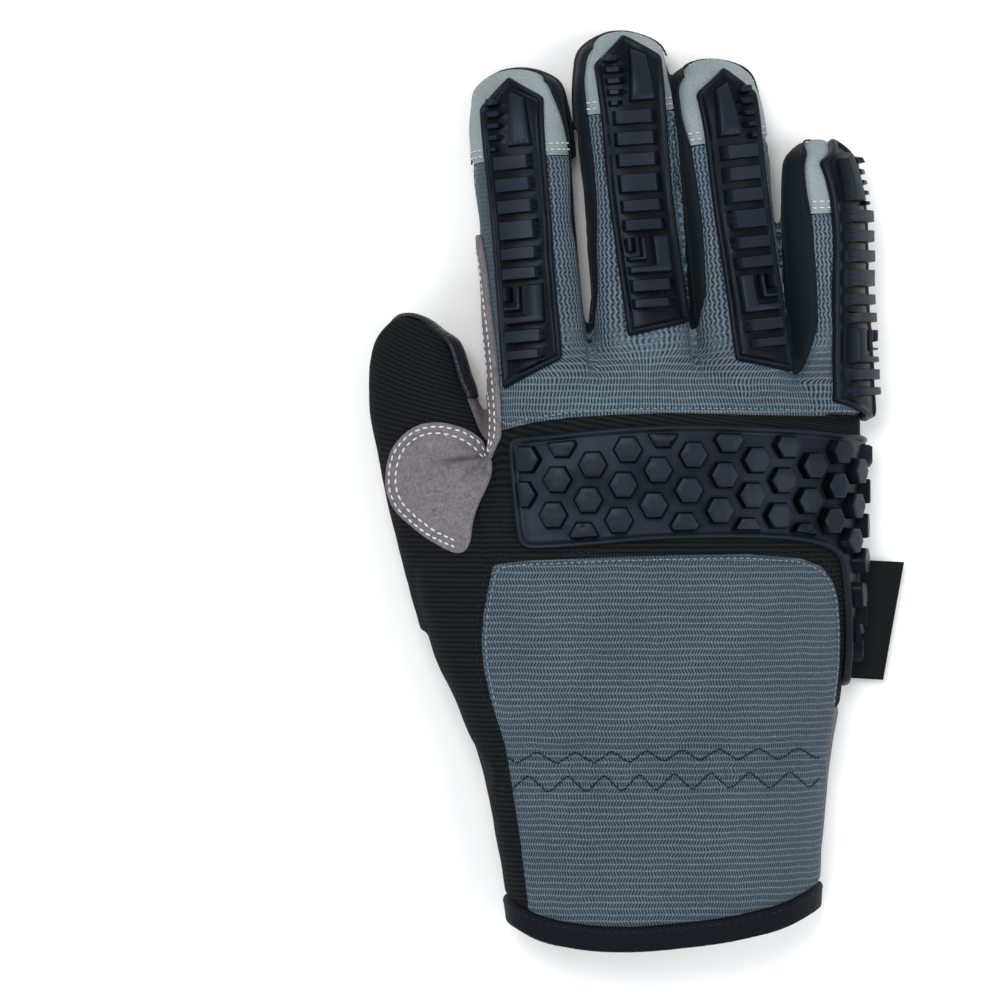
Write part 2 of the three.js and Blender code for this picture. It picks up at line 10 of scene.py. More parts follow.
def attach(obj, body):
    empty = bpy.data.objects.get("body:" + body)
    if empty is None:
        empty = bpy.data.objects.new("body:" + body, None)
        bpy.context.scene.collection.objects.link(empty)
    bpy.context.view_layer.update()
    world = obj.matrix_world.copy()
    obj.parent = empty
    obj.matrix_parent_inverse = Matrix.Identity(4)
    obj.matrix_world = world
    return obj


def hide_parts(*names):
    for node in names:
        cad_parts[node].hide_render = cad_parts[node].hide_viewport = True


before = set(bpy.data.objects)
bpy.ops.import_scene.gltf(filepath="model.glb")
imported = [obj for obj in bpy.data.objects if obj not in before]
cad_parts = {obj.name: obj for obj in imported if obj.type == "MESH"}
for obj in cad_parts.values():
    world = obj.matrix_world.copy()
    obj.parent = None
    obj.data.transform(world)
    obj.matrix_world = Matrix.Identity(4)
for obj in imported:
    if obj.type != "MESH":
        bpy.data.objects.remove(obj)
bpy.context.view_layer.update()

for spare in ("Cube", "Light", "Camera"):
    if spare in bpy.data.objects:
        bpy.data.objects.remove(bpy.data.objects[spare])

# Lengths below are in mm, and become metres when a mesh is made
metre = 0.001
gap = 0.3

# The hand and cuff: y, left, right, top, floor
handRows = np.array([
    [-146, -34.4, 51.6, 38.5, 0.8],
    [-140, -34.6, 51.8, 38.5, 0.8],
    [-90, -41.2, 54.6, 41.0, 1.8],
    [-77.5, -44.0, 56.0, 38.6, 2.0],
    [-67, -47.6, 57.6, 41.2, 2.0],
    [-44, -58.0, 60.8, 42.8, 2.0],
    [-20, -62.0, 62.4, 41.8, 2.0],
    [-14, -60.0, 62.4, 39.4, 2.0],
    [13, -42.8, 63.4, 37.4, 2.0],
    [31, -40.6, 64.4, 33.6, 2.2],
    [39, -39.0, 63.4, 28.0, 4.0],
    [42, -36.0, 60.6, 22.0, 8.0],
])
thumbSide = {"widest": 0.42, "squareness": 3.3}
littleSide = {"widest": 0.19, "squareness": 2.15}
palmSquareness = 3.4
palmSag = 1.4
rootSlant = {"fromX": 8, "fromY": 18, "over": 12, "slope": 0.26}

fingers = {
    "index": {"tip": (-34.4, 120.4), "root": (-25.6, 19.8), "roll": -11, "girth": 1.0, "rise": 1,
              "back": 100, "floor": 1.6},
    "middle": {"tip": (-4.6, 131.0), "root": (3.8, 19.8), "roll": 9, "girth": 0.98, "rise": 1,
               "back": 108, "floor": 1.6},
    "ring": {"tip": (20.6, 123.2), "root": (33.0, 19.8), "roll": 16, "girth": 0.975, "rise": 0.75,
             "back": 98, "floor": 0.6},
    "little": {"tip": (51.4, 100.2), "root": (55.2, 19.8), "roll": 58, "girth": 0.875, "rise": 0.15,
               "back": 80, "floor": 0.6},
}
axisHeight = 12.5
# From the tip: half width, half depth, height of the centre
fingerRows = np.array([
    [0, 8.6, 6.4, 9.9],
    [3, 11.6, 8.8, 10.6],
    [10, 13.3, 10.6, 11.8],
    [48, 13.8, 11.8, 13.2],
    [80, 14.0, 14.2, 16.6],
    [104, 14.2, 16.4, 18.8],
])
straightRow = 3
fingerSquareness = 2.3
underFinger = {"slope": 0.01, "highest": 2.0}  # how the finger's floor rises towards the hand
tipDome = {"length": 9.0, "power": 2.5, "flattest": 0.35}
tipBacks = [0.05, 0.3, 0.8, 1.6, 2.6]  # rings close together at a tip, then one at every step
evenFrom = 4
ringStep = 1.5

thumb = {"roll": -42, "floor": 1.6}
# x, y, half width, half depth, height of the centre
thumbRows = np.array([
    [-60.6, 48.4, 8.6, 7.0, 13.0],
    [-61.5, 46.2, 10.4, 8.4, 13.2],
    [-62.3, 40.6, 12.4, 10.6, 13.5],
    [-61.6, 29.0, 14.4, 12.8, 14.2],
    [-57.4, 14.0, 16.4, 13.8, 15.2],
    [-50.6, -7.0, 18.6, 15.2, 16.6],
    [-41.0, -34.0, 21.0, 17.0, 19.0],
])


def hermite(rows, at):
    # Rows of numbers, read between them on a smooth curve over the first column
    xs = rows[:, 0]
    slopes = np.gradient(rows, xs, axis=0)
    at = np.clip(at, xs[0], xs[-1])
    i = np.clip(np.searchsorted(xs, at, side="right") - 1, 0, len(xs) - 2)
    step = (xs[i + 1] - xs[i])[..., None]
    t = ((at - xs[i]) / (xs[i + 1] - xs[i]))[..., None]
    low = rows[i] * (2 * t ** 3 - 3 * t ** 2 + 1) + slopes[i] * step * (t ** 3 - 2 * t ** 2 + t)
    high = rows[i + 1] * (3 * t ** 2 - 2 * t ** 3) + slopes[i + 1] * step * (t ** 3 - t ** 2)
    return low + high


def smoothStep(low, high, value):
    t = np.clip((value - low) / (high - low), 0, 1)
    return t * t * (3 - 2 * t)


def curved(angle, squareness):
    cosine = np.cos(angle)
    return np.sign(cosine) * np.abs(cosine) ** (2 / squareness)


def handRing(y, angles):
    # Points of the hand's section at y, one for each angle round it
    _, left, right, top, floor = hermite(handRows, np.array(float(y)))
    points = np.zeros((len(angles), 3))
    for side, chosen in ((thumbSide, np.cos(angles) < 0), (littleSide, np.cos(angles) >= 0)):
        widest = floor + (top - floor) * side["widest"]
        over = np.sin(angles) > 0
        squareness = np.where(over, side["squareness"], palmSquareness)
        across = (left + right) / 2 + (right - left) / 2 * curved(angles, squareness)
        rise = curved(angles - math.pi / 2, squareness)
        height = widest + rise * np.where(rise > 0, top - widest, widest - floor + palmSag)
        points[chosen, 0] = across[chosen]
        points[chosen, 2] = np.maximum(height, floor)[chosen]
    slant = rootSlant["slope"] * np.maximum(0, points[:, 0] - rootSlant["fromX"])
    points[:, 1] = y - slant * smoothStep(rootSlant["fromY"], rootSlant["fromY"] + rootSlant["over"], y)
    return points


def axisFrame(tip, root, roll):
    # Across, along and up for a finger that is turned about its own length
    along = np.array([tip[0] - root[0], tip[1] - root[1], 0.0])
    along /= np.linalg.norm(along)
    level = np.array([along[1], -along[0], 0.0])
    turn = math.radians(roll)
    up = np.array([0, 0, math.cos(turn)]) + level * math.sin(turn)
    return np.cross(along, up), along, up


fingerFrames = {name: axisFrame(f["tip"], f["root"], f["roll"]) for name, f in fingers.items()}


def fingerTable(name):
    # The part of a finger that swells towards the knuckles is fitted to its length and rise
    finger = fingers[name]
    rows = fingerRows.copy()
    base = rows[straightRow]
    stretch = (finger["back"] - base[0]) / (rows[-1, 0] - base[0])
    for row in rows[straightRow + 1:]:
        row[0] = base[0] + stretch * (row[0] - base[0])
        row[2:] = base[2:] + finger["rise"] * (row[2:] - base[2:])
    rows[:, 1:3] *= finger["girth"]
    return rows


fingerTables = {name: fingerTable(name) for name in fingers}


def domed(distance):
    # How much of its full girth a rounded tip has at a distance from its very end
    share = 1 - np.clip(distance / tipDome["length"], 0, 1)
    return (1 - share ** tipDome["power"]) ** (1 / tipDome["power"])


def underside(centre, floor, dome):
    # The underside comes up towards the centre where the tip rounds off
    return centre - (centre - floor) * (tipDome["flattest"] + (1 - tipDome["flattest"]) * dome)


def ringBacks(length):
    return np.concatenate([tipBacks, np.arange(evenFrom, length, ringStep)])


def rolledRing(centre, axes, halfWidth, halfDepth, floor, angles):
    # One section of a finger, flattened where it would go below its floor
    across, _, up = axes
    points = centre + np.outer(halfWidth * curved(angles, fingerSquareness), across)
    points = points + np.outer(halfDepth * curved(angles - math.pi / 2, fingerSquareness), up)
    points[:, 2] = np.maximum(points[:, 2], floor)
    return points


def fingerRings(name, angles):
    finger = fingers[name]
    axes = fingerFrames[name]
    rings = []
    for back in ringBacks(finger["back"]):
        _, width, depth, centre = hermite(fingerTables[name], np.array(float(back)))
        dome = domed(back)
        middle = np.array([*finger["tip"], centre]) - axes[1] * back
        floor = min(finger["floor"] + back * underFinger["slope"], underFinger["highest"])
        floor = underside(middle[2], floor, dome)
        rings.append(rolledRing(middle, axes, width * dome, depth * dome, floor, angles))
    return rings


def thumbRings(angles):
    travel = np.concatenate([[0], np.cumsum(np.hypot(*np.diff(thumbRows[:, :2], axis=0).T))])
    rows = np.column_stack([travel, thumbRows])
    rings = []
    for back in ringBacks(travel[-1]):
        _, x, y, width, depth, centre = hermite(rows, np.array(float(back)))
        _, behindX, behindY, _, _, _ = hermite(rows, np.array(back + 1.0))
        _, beforeX, beforeY, _, _, _ = hermite(rows, np.array(back - 1.0))
        roll = thumb["roll"] * (1 - back / travel[-1])
        axes = axisFrame((beforeX, beforeY), (behindX, behindY), roll)
        dome = domed(back)
        floor = underside(centre, thumb["floor"], dome)
        middle = np.array([x, y, centre])
        rings.append(rolledRing(middle, axes, width * dome, depth * dome, floor, angles))
    return rings


def loftFaces(count, sides, start):
    # Quads between rings, and a fan over each end
    faces = []
    for row in range(count - 1):
        for side in range(sides):
            a = start + row * sides + side
            b = start + row * sides + (side + 1) % sides
            faces.append((a, b, b + sides, a + sides))
    first = start + count * sides
    last = start + (count - 1) * sides
    for side in range(sides):
        following = (side + 1) % sides
        faces.append((first, start + following, start + side))
        faces.append((first + 1, last + side, last + following))
    return faces


def joinedLofts(parts):
    vertices = []
    faces = []
    for rings in parts:
        start = len(vertices)
        faces += loftFaces(len(rings), len(rings[0]), start)
        vertices += [tuple(point) for ring in rings for point in ring]
        vertices += [tuple(rings[0].mean(axis=0)), tuple(rings[-1].mean(axis=0))]
    return np.array(vertices), faces


# Neighbours are held apart while the surface is joined up, so that no skin grows across between them
gapLines = {
    "indexMiddle": {"near": (-12.6, 40), "far": (-19.0, 122), "from": 44},
    "middleRing": {"near": (16.2, 40), "far": (9.2, 128), "from": 43},
    "ringLittle": {"near": (44.0, 32), "far": (38.6, 110), "from": 34},
}
heldApart = 2.4
gapSpan = 1.6
openingOver = 9  # the gap opens over this length


def spread(x, y):
    # Moves everything on the little finger's side of each gap outwards
    moved = x.copy()
    for line in gapLines.values():
        (nearX, nearY), (farX, farY) = line["near"], line["far"]
        middle = nearX + (farX - nearX) * (y - nearY) / (farY - nearY)
        opened = smoothStep(line["from"], line["from"] + openingOver, y)
        moved += heldApart * opened * smoothStep(-gapSpan, gapSpan, x - middle)
    return moved


def unspread(x, y):
    # Takes the spreading back: the span that holds the old x is halved again and again
    halvings = 30
    low = x - len(gapLines) * heldApart - 1
    high = x + 1.0
    for _ in range(halvings):
        middle = (low + high) / 2
        over = spread(middle, y) > x
        high = np.where(over, middle, high)
        low = np.where(over, low, middle)
    return (low + high) / 2


def meshObject(name, vertices, faces):
    mesh = bpy.data.meshes.new(name)
    mesh.from_pydata([tuple(v) for v in np.asarray(vertices) * metre], [], [tuple(f) for f in faces])
    mesh.update()
    mesh.shade_smooth()
    piece = bpy.data.objects.new(name, mesh)
    bpy.context.scene.collection.objects.link(piece)
    return piece


def evaluatedMesh(piece):
    bpy.context.view_layer.update()
    graph = bpy.context.evaluated_depsgraph_get()
    return bpy.data.meshes.new_from_object(piece.evaluated_get(graph))


def meshArrays(mesh):
    mesh.calc_loop_triangles()
    points = np.zeros(len(mesh.vertices) * 3)
    mesh.vertices.foreach_get("co", points)
    triangles = np.zeros(len(mesh.loop_triangles) * 3, dtype=np.int64)
    mesh.loop_triangles.foreach_get("vertices", triangles)
    return points.reshape(-1, 3) / metre, triangles.reshape(-1, 3)


skin = {"sides": 120, "voxel": 1.0, "soften": 0.5, "rounds": 5}


def buildSkin():
    # One closed surface round the hand, the fingers and the thumb, which every panel is cut from
    angles = np.linspace(0, 2 * math.pi, skin["sides"] + 1)[:-1]
    first, last = handRows[0, 0], handRows[-1, 0]
    handYs = np.concatenate([np.arange(first, last, ringStep), [last]])
    parts = [[ring[::-1] for ring in (handRing(y, angles) for y in handYs)]]
    parts += [fingerRings(name, angles) for name in fingers]
    parts.append(thumbRings(angles))
    vertices, faces = joinedLofts(parts)
    vertices[:, 0] = spread(vertices[:, 0], vertices[:, 1])
    piece = meshObject("rough_skin", vertices, faces)
    remesh = piece.modifiers.new("join", "REMESH")
    remesh.mode = "VOXEL"
    remesh.voxel_size = skin["voxel"] * metre
    soften = piece.modifiers.new("soften", "SMOOTH")
    soften.factor = skin["soften"]
    soften.iterations = skin["rounds"]
    mesh = evaluatedMesh(piece)
    points, triangles = meshArrays(mesh)
    points[:, 0] = unspread(points[:, 0], points[:, 1])
    bpy.data.objects.remove(piece)
    bpy.data.meshes.remove(mesh)
    return points, triangles


def vertexNormals(points, triangles):
    a, b, c = (points[triangles[:, i]] for i in range(3))
    faceNormals = np.cross(b - a, c - a)
    normals = np.zeros_like(points)
    for i in range(3):
        np.add.at(normals, triangles[:, i], faceNormals)
    return normals / np.maximum(np.linalg.norm(normals, axis=1, keepdims=True), 1e-12)


def edgePairs(triangles):
    return np.vstack([triangles[:, [0, 1]], triangles[:, [1, 2]], triangles[:, [2, 0]]])


def smoothed(values, triangles, rounds):
    # Each value moves to the mean of its neighbours
    pairs = edgePairs(triangles)
    counts = np.bincount(pairs[:, 0], minlength=len(values)).astype(float)
    counts = np.maximum(counts, 1)[:, None]
    for _ in range(rounds):
        total = np.zeros_like(values)
        np.add.at(total, pairs[:, 0], values[pairs[:, 1]])
        values = total / counts
    return values


skinPoints, skinTriangles = buildSkin()
print("skin done,", len(skinTriangles), "triangles")


cornerCuts = 2


def rounded(outline):
    # Cuts the corners of a closed outline, so that it runs as a curve
    points = np.array(outline, dtype=float)
    for _ in range(cornerCuts):
        following = np.roll(points, -1, axis=0)
        points = np.stack([0.75 * points + 0.25 * following, 0.25 * points + 0.75 * following], axis=1)
        points = points.reshape(-1, 2)
    return points


def insideOutline(points, outline):
    # Distance from a closed outline seen from above, positive inside it
    x, y = points[:, 0], points[:, 1]
    best = np.full(len(points), np.inf)
    inside = np.zeros(len(points), dtype=bool)
    outline = np.asarray(outline, dtype=float)
    for (x0, y0), (x1, y1) in zip(outline, np.roll(outline, -1, axis=0)):
        dx, dy = x1 - x0, y1 - y0
        t = np.clip(((x - x0) * dx + (y - y0) * dy) / max(dx * dx + dy * dy, 1e-9), 0, 1)
        best = np.minimum(best, np.hypot(x - x0 - t * dx, y - y0 - t * dy))
        if y0 != y1:
            inside ^= ((y0 > y) != (y1 > y)) & (x < dx * (y - y0) / dy + x0)
    return np.where(inside, best, -best)


def fingerCoords(points, name):
    # Across a finger, back from its tip, and up from its axis
    across, along, up = fingerFrames[name]
    offset = points - np.array([*fingers[name]["tip"], axisHeight])
    return offset @ across, -(offset @ along), offset @ up


# Each finger's share of the glove, seen from above
lanes = {
    "index": [(-54, 126), (-50.5, 80), (-49, 56), (-46.4, 38), (-43.6, 30), (-12, 30), (-13.6, 46),
              (-16, 77), (-20, 122), (-22, 140), (-54, 140)],
    "middle": [(-22, 140), (-20, 122), (-16, 77), (-13.6, 46), (-12, 30), (17, 30), (15.2, 55), (12, 92),
               (9, 125), (8, 140)],
    "ring": [(8, 140), (9, 125), (12, 92), (15.2, 55), (17, 30), (45.4, 24), (43.6, 42), (41.2, 68),
             (39.8, 98), (38, 134)],
    "little": [(38, 134), (39.8, 98), (41.2, 68), (43.6, 42), (45.4, 24), (95, 24), (95, 134)],
}
# The web in the crotch on each finger's thumb side
crotchWebs = {
    "middle": [(-22, 36), (-5, 36), (-5, 48), (-22, 48)],
    "ring": [(8, 36), (23, 36), (23, 48), (8, 48)],
    "little": [(37, 27), (53, 27), (53, 43), (37, 43)],
}
capLengths = {"index": 26.5, "middle": 24, "ring": 25, "little": 22}
# The seam along each finger's nail side: height over the axis and tilt, at the tip and from the cap on
nailSeams = {
    "index": {"high": (1.6, 1.8), "tilt": (0.3, 0.04)},
    "middle": {"high": (2.6, 2.8), "tilt": (-0.16, -0.36)},
    "ring": {"high": (3.2, 3.6), "tilt": (-0.06, -0.48)},
    "little": {"high": (1.5, 4.6), "tilt": (0.0, 0.0)},
}
rootSeams = {"index": 38, "middle": 40, "ring": 40, "little": 31}
# The seam starts low at the tip, settles past the cap, and comes up out of the hand at the root
seamRun = {"settleFrom": 9, "settleOver": 17, "tipLow": -3, "tipFrom": 0.5, "tipOver": 4, "rootLow": -5,
           "rootOver": 16}
# How far under its axis a finger's pad begins, and the heights and lengths that bound the panels
padSide = {"index": -5.0, "middle": -5.0, "ring": -5.5, "little": -9.5}
rootLength = 94
beyondTip = -20
noLimit = 99  # further than anything reaches
webHeights = (8, 19)
farAhead = 150  # past every fingertip
backFrom = 14
sideFrom = 11
stripFrom = 5.2
bindingWidth = 7.4
hemCurve = np.array([
    [-60, -121], [-37, -121], [-29.6, -126.6], [-13.3, -129.2], [0.7, -129.4], [24.3, -127],
    [42.2, -123.6], [54, -118], [75, -118],
])
# The panels' outlines, seen from above; they run on past the glove where it turns down its sides
knuckleArea = [
    (-38.4, 16.6), (-30, 18.7), (-19.6, 20.3), (-6, 21.2), (9, 21.6), (40, 21.3), (80, 20.6), (80, 42),
    (51, 42), (50.2, 37.5), (48.2, 33.8), (45.8, 32.2), (43.6, 33.8), (42, 37.5), (41.4, 42), (-40, 42),
    (-40.6, 26),
]
wristArea = [
    (-40.4, -20.7), (-32, -19.6), (-8.5, -18.6), (12, -18.0), (31, -17.8), (46.1, -19), (52.6, -21.6),
    (56, -26), (57.6, -31), (58.4, -40), (58.4, -50), (57, -62), (54.8, -82), (53.6, -102), (52.2, -121),
    (53, -150), (-31.5, -150), (-31, -116), (-33.4, -96), (-37.2, -72), (-41.2, -59), (-43.2, -50),
    (-43.8, -43), (-43.4, -36), (-42, -28),
]
stripArea = [
    (-41, 15.6), (-30, 18.2), (-19.6, 19.7), (9, 21), (80, 20), (80, -61), (56.4, -61), (59, -50),
    (59, -40), (58.2, -31), (56.6, -25.6), (53, -21), (46.4, -18.4), (31, -17.2), (-8.5, -18),
    (-40.8, -20.1), (-44.8, -8),
]
thumbTopArea = [
    (-45.5, -8), (-41.4, -20.6), (-42.6, -28), (-44.1, -36), (-44.4, -43), (-43.8, -50), (-41.8, -59),
    (-37.8, -72), (-34, -96), (-31.7, -116), (-32.1, -150), (-100, -150), (-100, 80), (-47, 80),
    (-44.5, 30), (-41.8, 15.8),
]
thumbPalmArea = [
    (-60.4, 12), (-46.5, -20), (-32.8, -43.6), (-18.1, -89), (-13.3, -150), (-100, -150), (-100, 75),
    (-67, 65), (-68.6, 50), (-68, 38), (-65.4, 24),
]

# The cuff's edge as a smooth line over x
hemRounds = 120
hemAcross = np.linspace(-60, 75, 271)
hemAlong = np.interp(hemAcross, hemCurve[:, 0], hemCurve[:, 1])
for _ in range(hemRounds):
    hemAlong[1:-1] = (hemAlong[:-2] + 2 * hemAlong[1:-1] + hemAlong[2:]) / 4


def hemValue(points):
    return points[:, 1] - np.interp(points[:, 0], hemAcross, hemAlong)


def laneValue(points, name):
    return insideOutline(points, lanes[name])


def overNail(points, name):
    # Height over the seam between a finger's nail side and its fourchettes
    across, back, height = fingerCoords(points, name)
    seam = nailSeams[name]
    run = seamRun
    far = np.clip((back - run["settleFrom"]) / run["settleOver"], 0, 1)
    high = seam["high"][0] + (seam["high"][1] - seam["high"][0]) * far
    tilt = seam["tilt"][0] + (seam["tilt"][1] - seam["tilt"][0]) * far
    fromTip = np.clip((back - run["tipFrom"]) / run["tipOver"], 0, 1)
    level = (high + tilt * across - run["tipLow"]) * fromTip + run["tipLow"]
    fromRoot = np.sqrt(np.clip((points[:, 1] - rootSeams[name]) / run["rootOver"], 0, 1))
    return height - (level - run["rootLow"]) * fromRoot - run["rootLow"]


def slab(points, name, start, end, low, high):
    # Inside a stretch of one finger, by distance back from its tip and height over its axis
    _, back, height = fingerCoords(points, name)
    limits = [back - start, end - back, height - low, high - height, laneValue(points, name)]
    return np.minimum.reduce(limits)


def betweenValue(points, left, right):
    # The side walls that face each other between two fingers, and the web in their crotch
    web = crotchWebs[right]
    low = web[0][1]
    corners = []
    for y in (low, farAhead):
        for finger in (fingers[left], fingers[right]):
            (rootX, rootY), (tipX, tipY) = finger["root"], finger["tip"]
            corners.append((rootX + (y - rootY) / (tipY - rootY) * (tipX - rootX), y))
    ground = insideOutline(points, [corners[0], corners[1], corners[3], corners[2]])
    z = points[:, 2]
    webValue = np.minimum.reduce([insideOutline(points, web), z - webHeights[0], webHeights[1] - z])
    sides = []
    for name in (left, right):
        flank = slab(points, name, beyondTip, rootLength, padSide[name], noLimit)
        sides.append(np.minimum(flank, -overNail(points, name)))
    return np.minimum(ground, np.maximum.reduce([*sides, webValue]))


thumbTip = np.array([thumbRows[1, 0], thumbRows[1, 1], thumbRows[1, 4]])
thumbAxes = axisFrame(thumbRows[1, :2], thumbRows[5, :2], thumb["roll"])
thumbPad = {"half": 40, "ahead": 15, "behind": 47, "top": 0.5}


def thumbPadValue(points):
    # The half of the thumb that faces the index finger and the palm
    offset = points - thumbTip
    across, along, up = (offset @ axis for axis in thumbAxes)
    return np.minimum.reduce([thumbPad["half"] - np.abs(across), thumbPad["ahead"] - along,
                              along + thumbPad["behind"], thumbPad["top"] - up])


panelReach = {"strip": 0.7, "thumb": 1.2}  # how far two panels reach past their drawn lines


def regionValues(points):
    # Each cloth panel's reach over the skin, in the order that the panels claim it
    z = points[:, 2]
    values = {"wrist_knit": np.minimum(insideOutline(points, wristArea), z - sideFrom)}
    strip = insideOutline(points, stripArea) + panelReach["strip"]
    values["knuckle_strip"] = np.minimum(strip, z - stripFrom)
    backs = []
    for name in fingers:
        back = slab(points, name, capLengths[name] + gap, rootLength, -noLimit, noLimit)
        backs.append(np.minimum(back, overNail(points, name)))
    hand = np.minimum(insideOutline(points, knuckleArea), z - backFrom)
    values["knuckle_knit"] = np.maximum.reduce([*backs, hand])
    for name in fingers:
        tip = slab(points, name, beyondTip, capLengths[name], -noLimit, noLimit)
        values["cap_" + name] = np.minimum(tip, overNail(points, name))
    values["fourchette_index_middle"] = betweenValue(points, "index", "middle")
    values["fourchette_middle_ring"] = betweenValue(points, "middle", "ring")
    values["fourchette_ring_little"] = betweenValue(points, "ring", "little")
    thumbTop = np.minimum(insideOutline(points, thumbTopArea) + panelReach["thumb"], z - sideFrom)
    thumbUnder = np.minimum(insideOutline(points, thumbPalmArea), sideFrom + 2 * gap - z)
    values["side_knit"] = np.minimum(np.maximum(thumbTop, thumbUnder), -thumbPadValue(points))
    return values


nearestCorner = 0.1  # a new point keeps this share of its edge away from either end
smallestScrap = 30  # triangles


def split(columns, triangles, value, level):
    # New vertices where the value crosses the level, so that no triangle lies on both sides of it
    above = value >= level
    count = above[triangles].sum(axis=1)
    mixed = triangles[(count == 1) | (count == 2)]
    odd = np.where(above[mixed].sum(axis=1)[:, None] == 1, above[mixed], ~above[mixed])
    turn = odd.argmax(axis=1)
    order = (turn[:, None] + np.arange(3)) % 3
    o, a, b = np.take_along_axis(mixed, order, axis=1).T
    pairs = np.sort(np.concatenate([np.stack([o, a], 1), np.stack([o, b], 1)]), axis=1)
    unique, where = np.unique(pairs, axis=0, return_inverse=True)
    where = where.reshape(-1)
    i, j = unique.T
    t = (level - value[i]) / (value[j] - value[i])
    t = np.clip(t, nearestCorner, 1 - nearestCorner)[:, None]
    added = columns[i] * (1 - t) + columns[j] * t
    new = len(columns) + where
    oa, ob = new[:len(o)], new[len(o):]
    cut = np.concatenate([np.stack([o, oa, ob], 1), np.stack([oa, a, b], 1), np.stack([oa, b, ob], 1)])
    triangles = np.concatenate([triangles[(count == 0) | (count == 3)], cut])
    return np.vstack([columns, added]), triangles, np.concatenate([value, np.full(len(added), float(level))])


def renumbered(columns, triangles, value):
    # Drops the points that no triangle uses
    used = np.unique(triangles)
    number = np.full(len(columns), -1)
    number[used] = np.arange(len(used))
    return columns[used], number[triangles], value[used]


def kept(columns, triangles, value, level):
    # Only what lies above the level, without the slivers beside its large parts
    triangles = triangles[(value[triangles] >= level).all(axis=1)]
    columns, triangles, value = renumbered(columns, triangles, value)
    label = np.arange(len(columns))
    pairs = edgePairs(triangles)
    while True:
        before = label.copy()
        np.minimum.at(label, pairs[:, 0], label[pairs[:, 1]])
        np.minimum.at(label, pairs[:, 1], label[pairs[:, 0]])
        label = label[label]
        if (label == before).all():
            break
    sizes = np.bincount(label)
    triangles = triangles[sizes[label[triangles[:, 0]]] > smallestScrap]
    return renumbered(columns, triangles, value)


def clipped(columns, triangles, value, levels):
    columns, triangles, value = split(columns, triangles, value, levels[0])
    columns, triangles, value = kept(columns, triangles, value, levels[0])
    for level in levels[1:]:
        columns, triangles, value = split(columns, triangles, value, level)
    return columns, triangles, value


def shellFaces(triangles, count):
    # The outer side, the inner side turned over, and a wall along each open edge
    pairs = edgePairs(triangles)
    keys = pairs[:, 0] * (count + 1) + pairs[:, 1]
    backwards = pairs[:, 1] * (count + 1) + pairs[:, 0]
    rim = pairs[~np.isin(keys, backwards)]
    walls = np.stack([rim[:, 1], rim[:, 0], rim[:, 0] + count, rim[:, 1] + count], axis=1)
    faces = [tuple(t) for t in triangles] + [tuple(t[::-1] + count) for t in triangles]
    return faces + [tuple(w) for w in walls]


def addUv(piece, u, v):
    layer = piece.data.uv_layers.new(name="cloth")
    loops = np.zeros(len(piece.data.loops), dtype=np.int64)
    piece.data.loops.foreach_get("vertex_index", loops)
    layer.data.foreach_set("uv", np.stack([u[loops], v[loops]], axis=1).astype(np.float32).ravel())


clothCrease = 60  # degrees: an edge sharper than this is shaded as an edge


def shellPiece(name, columns, triangles, outer, inner):
    points, normals = columns[:, 0:3], columns[:, 3:6]
    normals = normals / np.maximum(np.linalg.norm(normals, axis=1, keepdims=True), 1e-9)
    upper = points + normals * np.broadcast_to(outer, len(points))[:, None]
    lower = points + normals * np.broadcast_to(inner, len(points))[:, None]
    piece = meshObject(name, np.vstack([upper, lower]), shellFaces(triangles, len(points)))
    piece.data.set_sharp_from_angle(angle=math.radians(clothCrease))
    addUv(piece, np.tile(columns[:, 6], 2), np.tile(columns[:, 7], 2))
    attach(piece, "root")
    return piece


# How the weave lies: spread down the hand's sides, wound round the fingers, turned on the thumb
weave = {
    "sideFrom": 14, "sideTop": 40, "sideSpread": 0.7, "middle": 4, "turnOver": 10,
    "fingerFrom": 30, "fingerTo": 42, "girth": 13.5, "flankFrom": 4, "hub": 1.5, "padFrom": -5.6,
    "thumbFrom": -20, "thumbTo": 10, "thumbRight": -38, "thumbLeft": -46, "thumbScale": 1.2,
    "thumbRound": 0.6,
}


def fabricCoords(points):
    # Distances over the cloth, across and along: round each finger, and over the hand's back
    x, y, z = points.T
    sideSpread = np.where(z > weave["sideFrom"], weave["sideSpread"], 0.0)
    outwards = np.tanh((x - weave["middle"]) / weave["turnOver"])
    across = x + sideSpread * outwards * np.maximum(weave["sideTop"] - z, 0)
    along = y.copy()
    onFinger = smoothStep(weave["fingerFrom"], weave["fingerTo"], y)
    for name, finger in fingers.items():
        chosen = laneValue(points, name) > -1
        a, back, height = fingerCoords(points[chosen], name)
        # Round the nail side by angle, then straight down the flank; the pad's side is laid out flat
        high = np.maximum(height, weave["flankFrom"])
        laid = weave["girth"] * np.arctan2(a, high + weave["hub"]) + np.sign(a) * (high - height)
        laid = np.where(height > weave["padFrom"], laid, a)
        share = onFinger[chosen]
        across[chosen] = across[chosen] * (1 - share) + (finger["root"][0] + laid) * share
        along[chosen] = along[chosen] * (1 - share) + (finger["tip"][1] - back) * share
    onThumb = smoothStep(weave["thumbFrom"], weave["thumbTo"], y)
    onThumb = onThumb * smoothStep(weave["thumbRight"], weave["thumbLeft"], x)
    offset = points - thumbTip
    turned = offset @ thumbAxes[0] - offset @ thumbAxes[2] * weave["thumbRound"]
    across = across * (1 - onThumb) + weave["thumbScale"] * turned * onThumb
    return across, along


def noiseField(points, scale, seed):
    shift = Vector((seed, seed * 0.7, seed * 1.3))
    return np.array([noise.noise(Vector(point) / scale + shift) for point in points])


creaseHub = np.array([-40.5, 9.4])
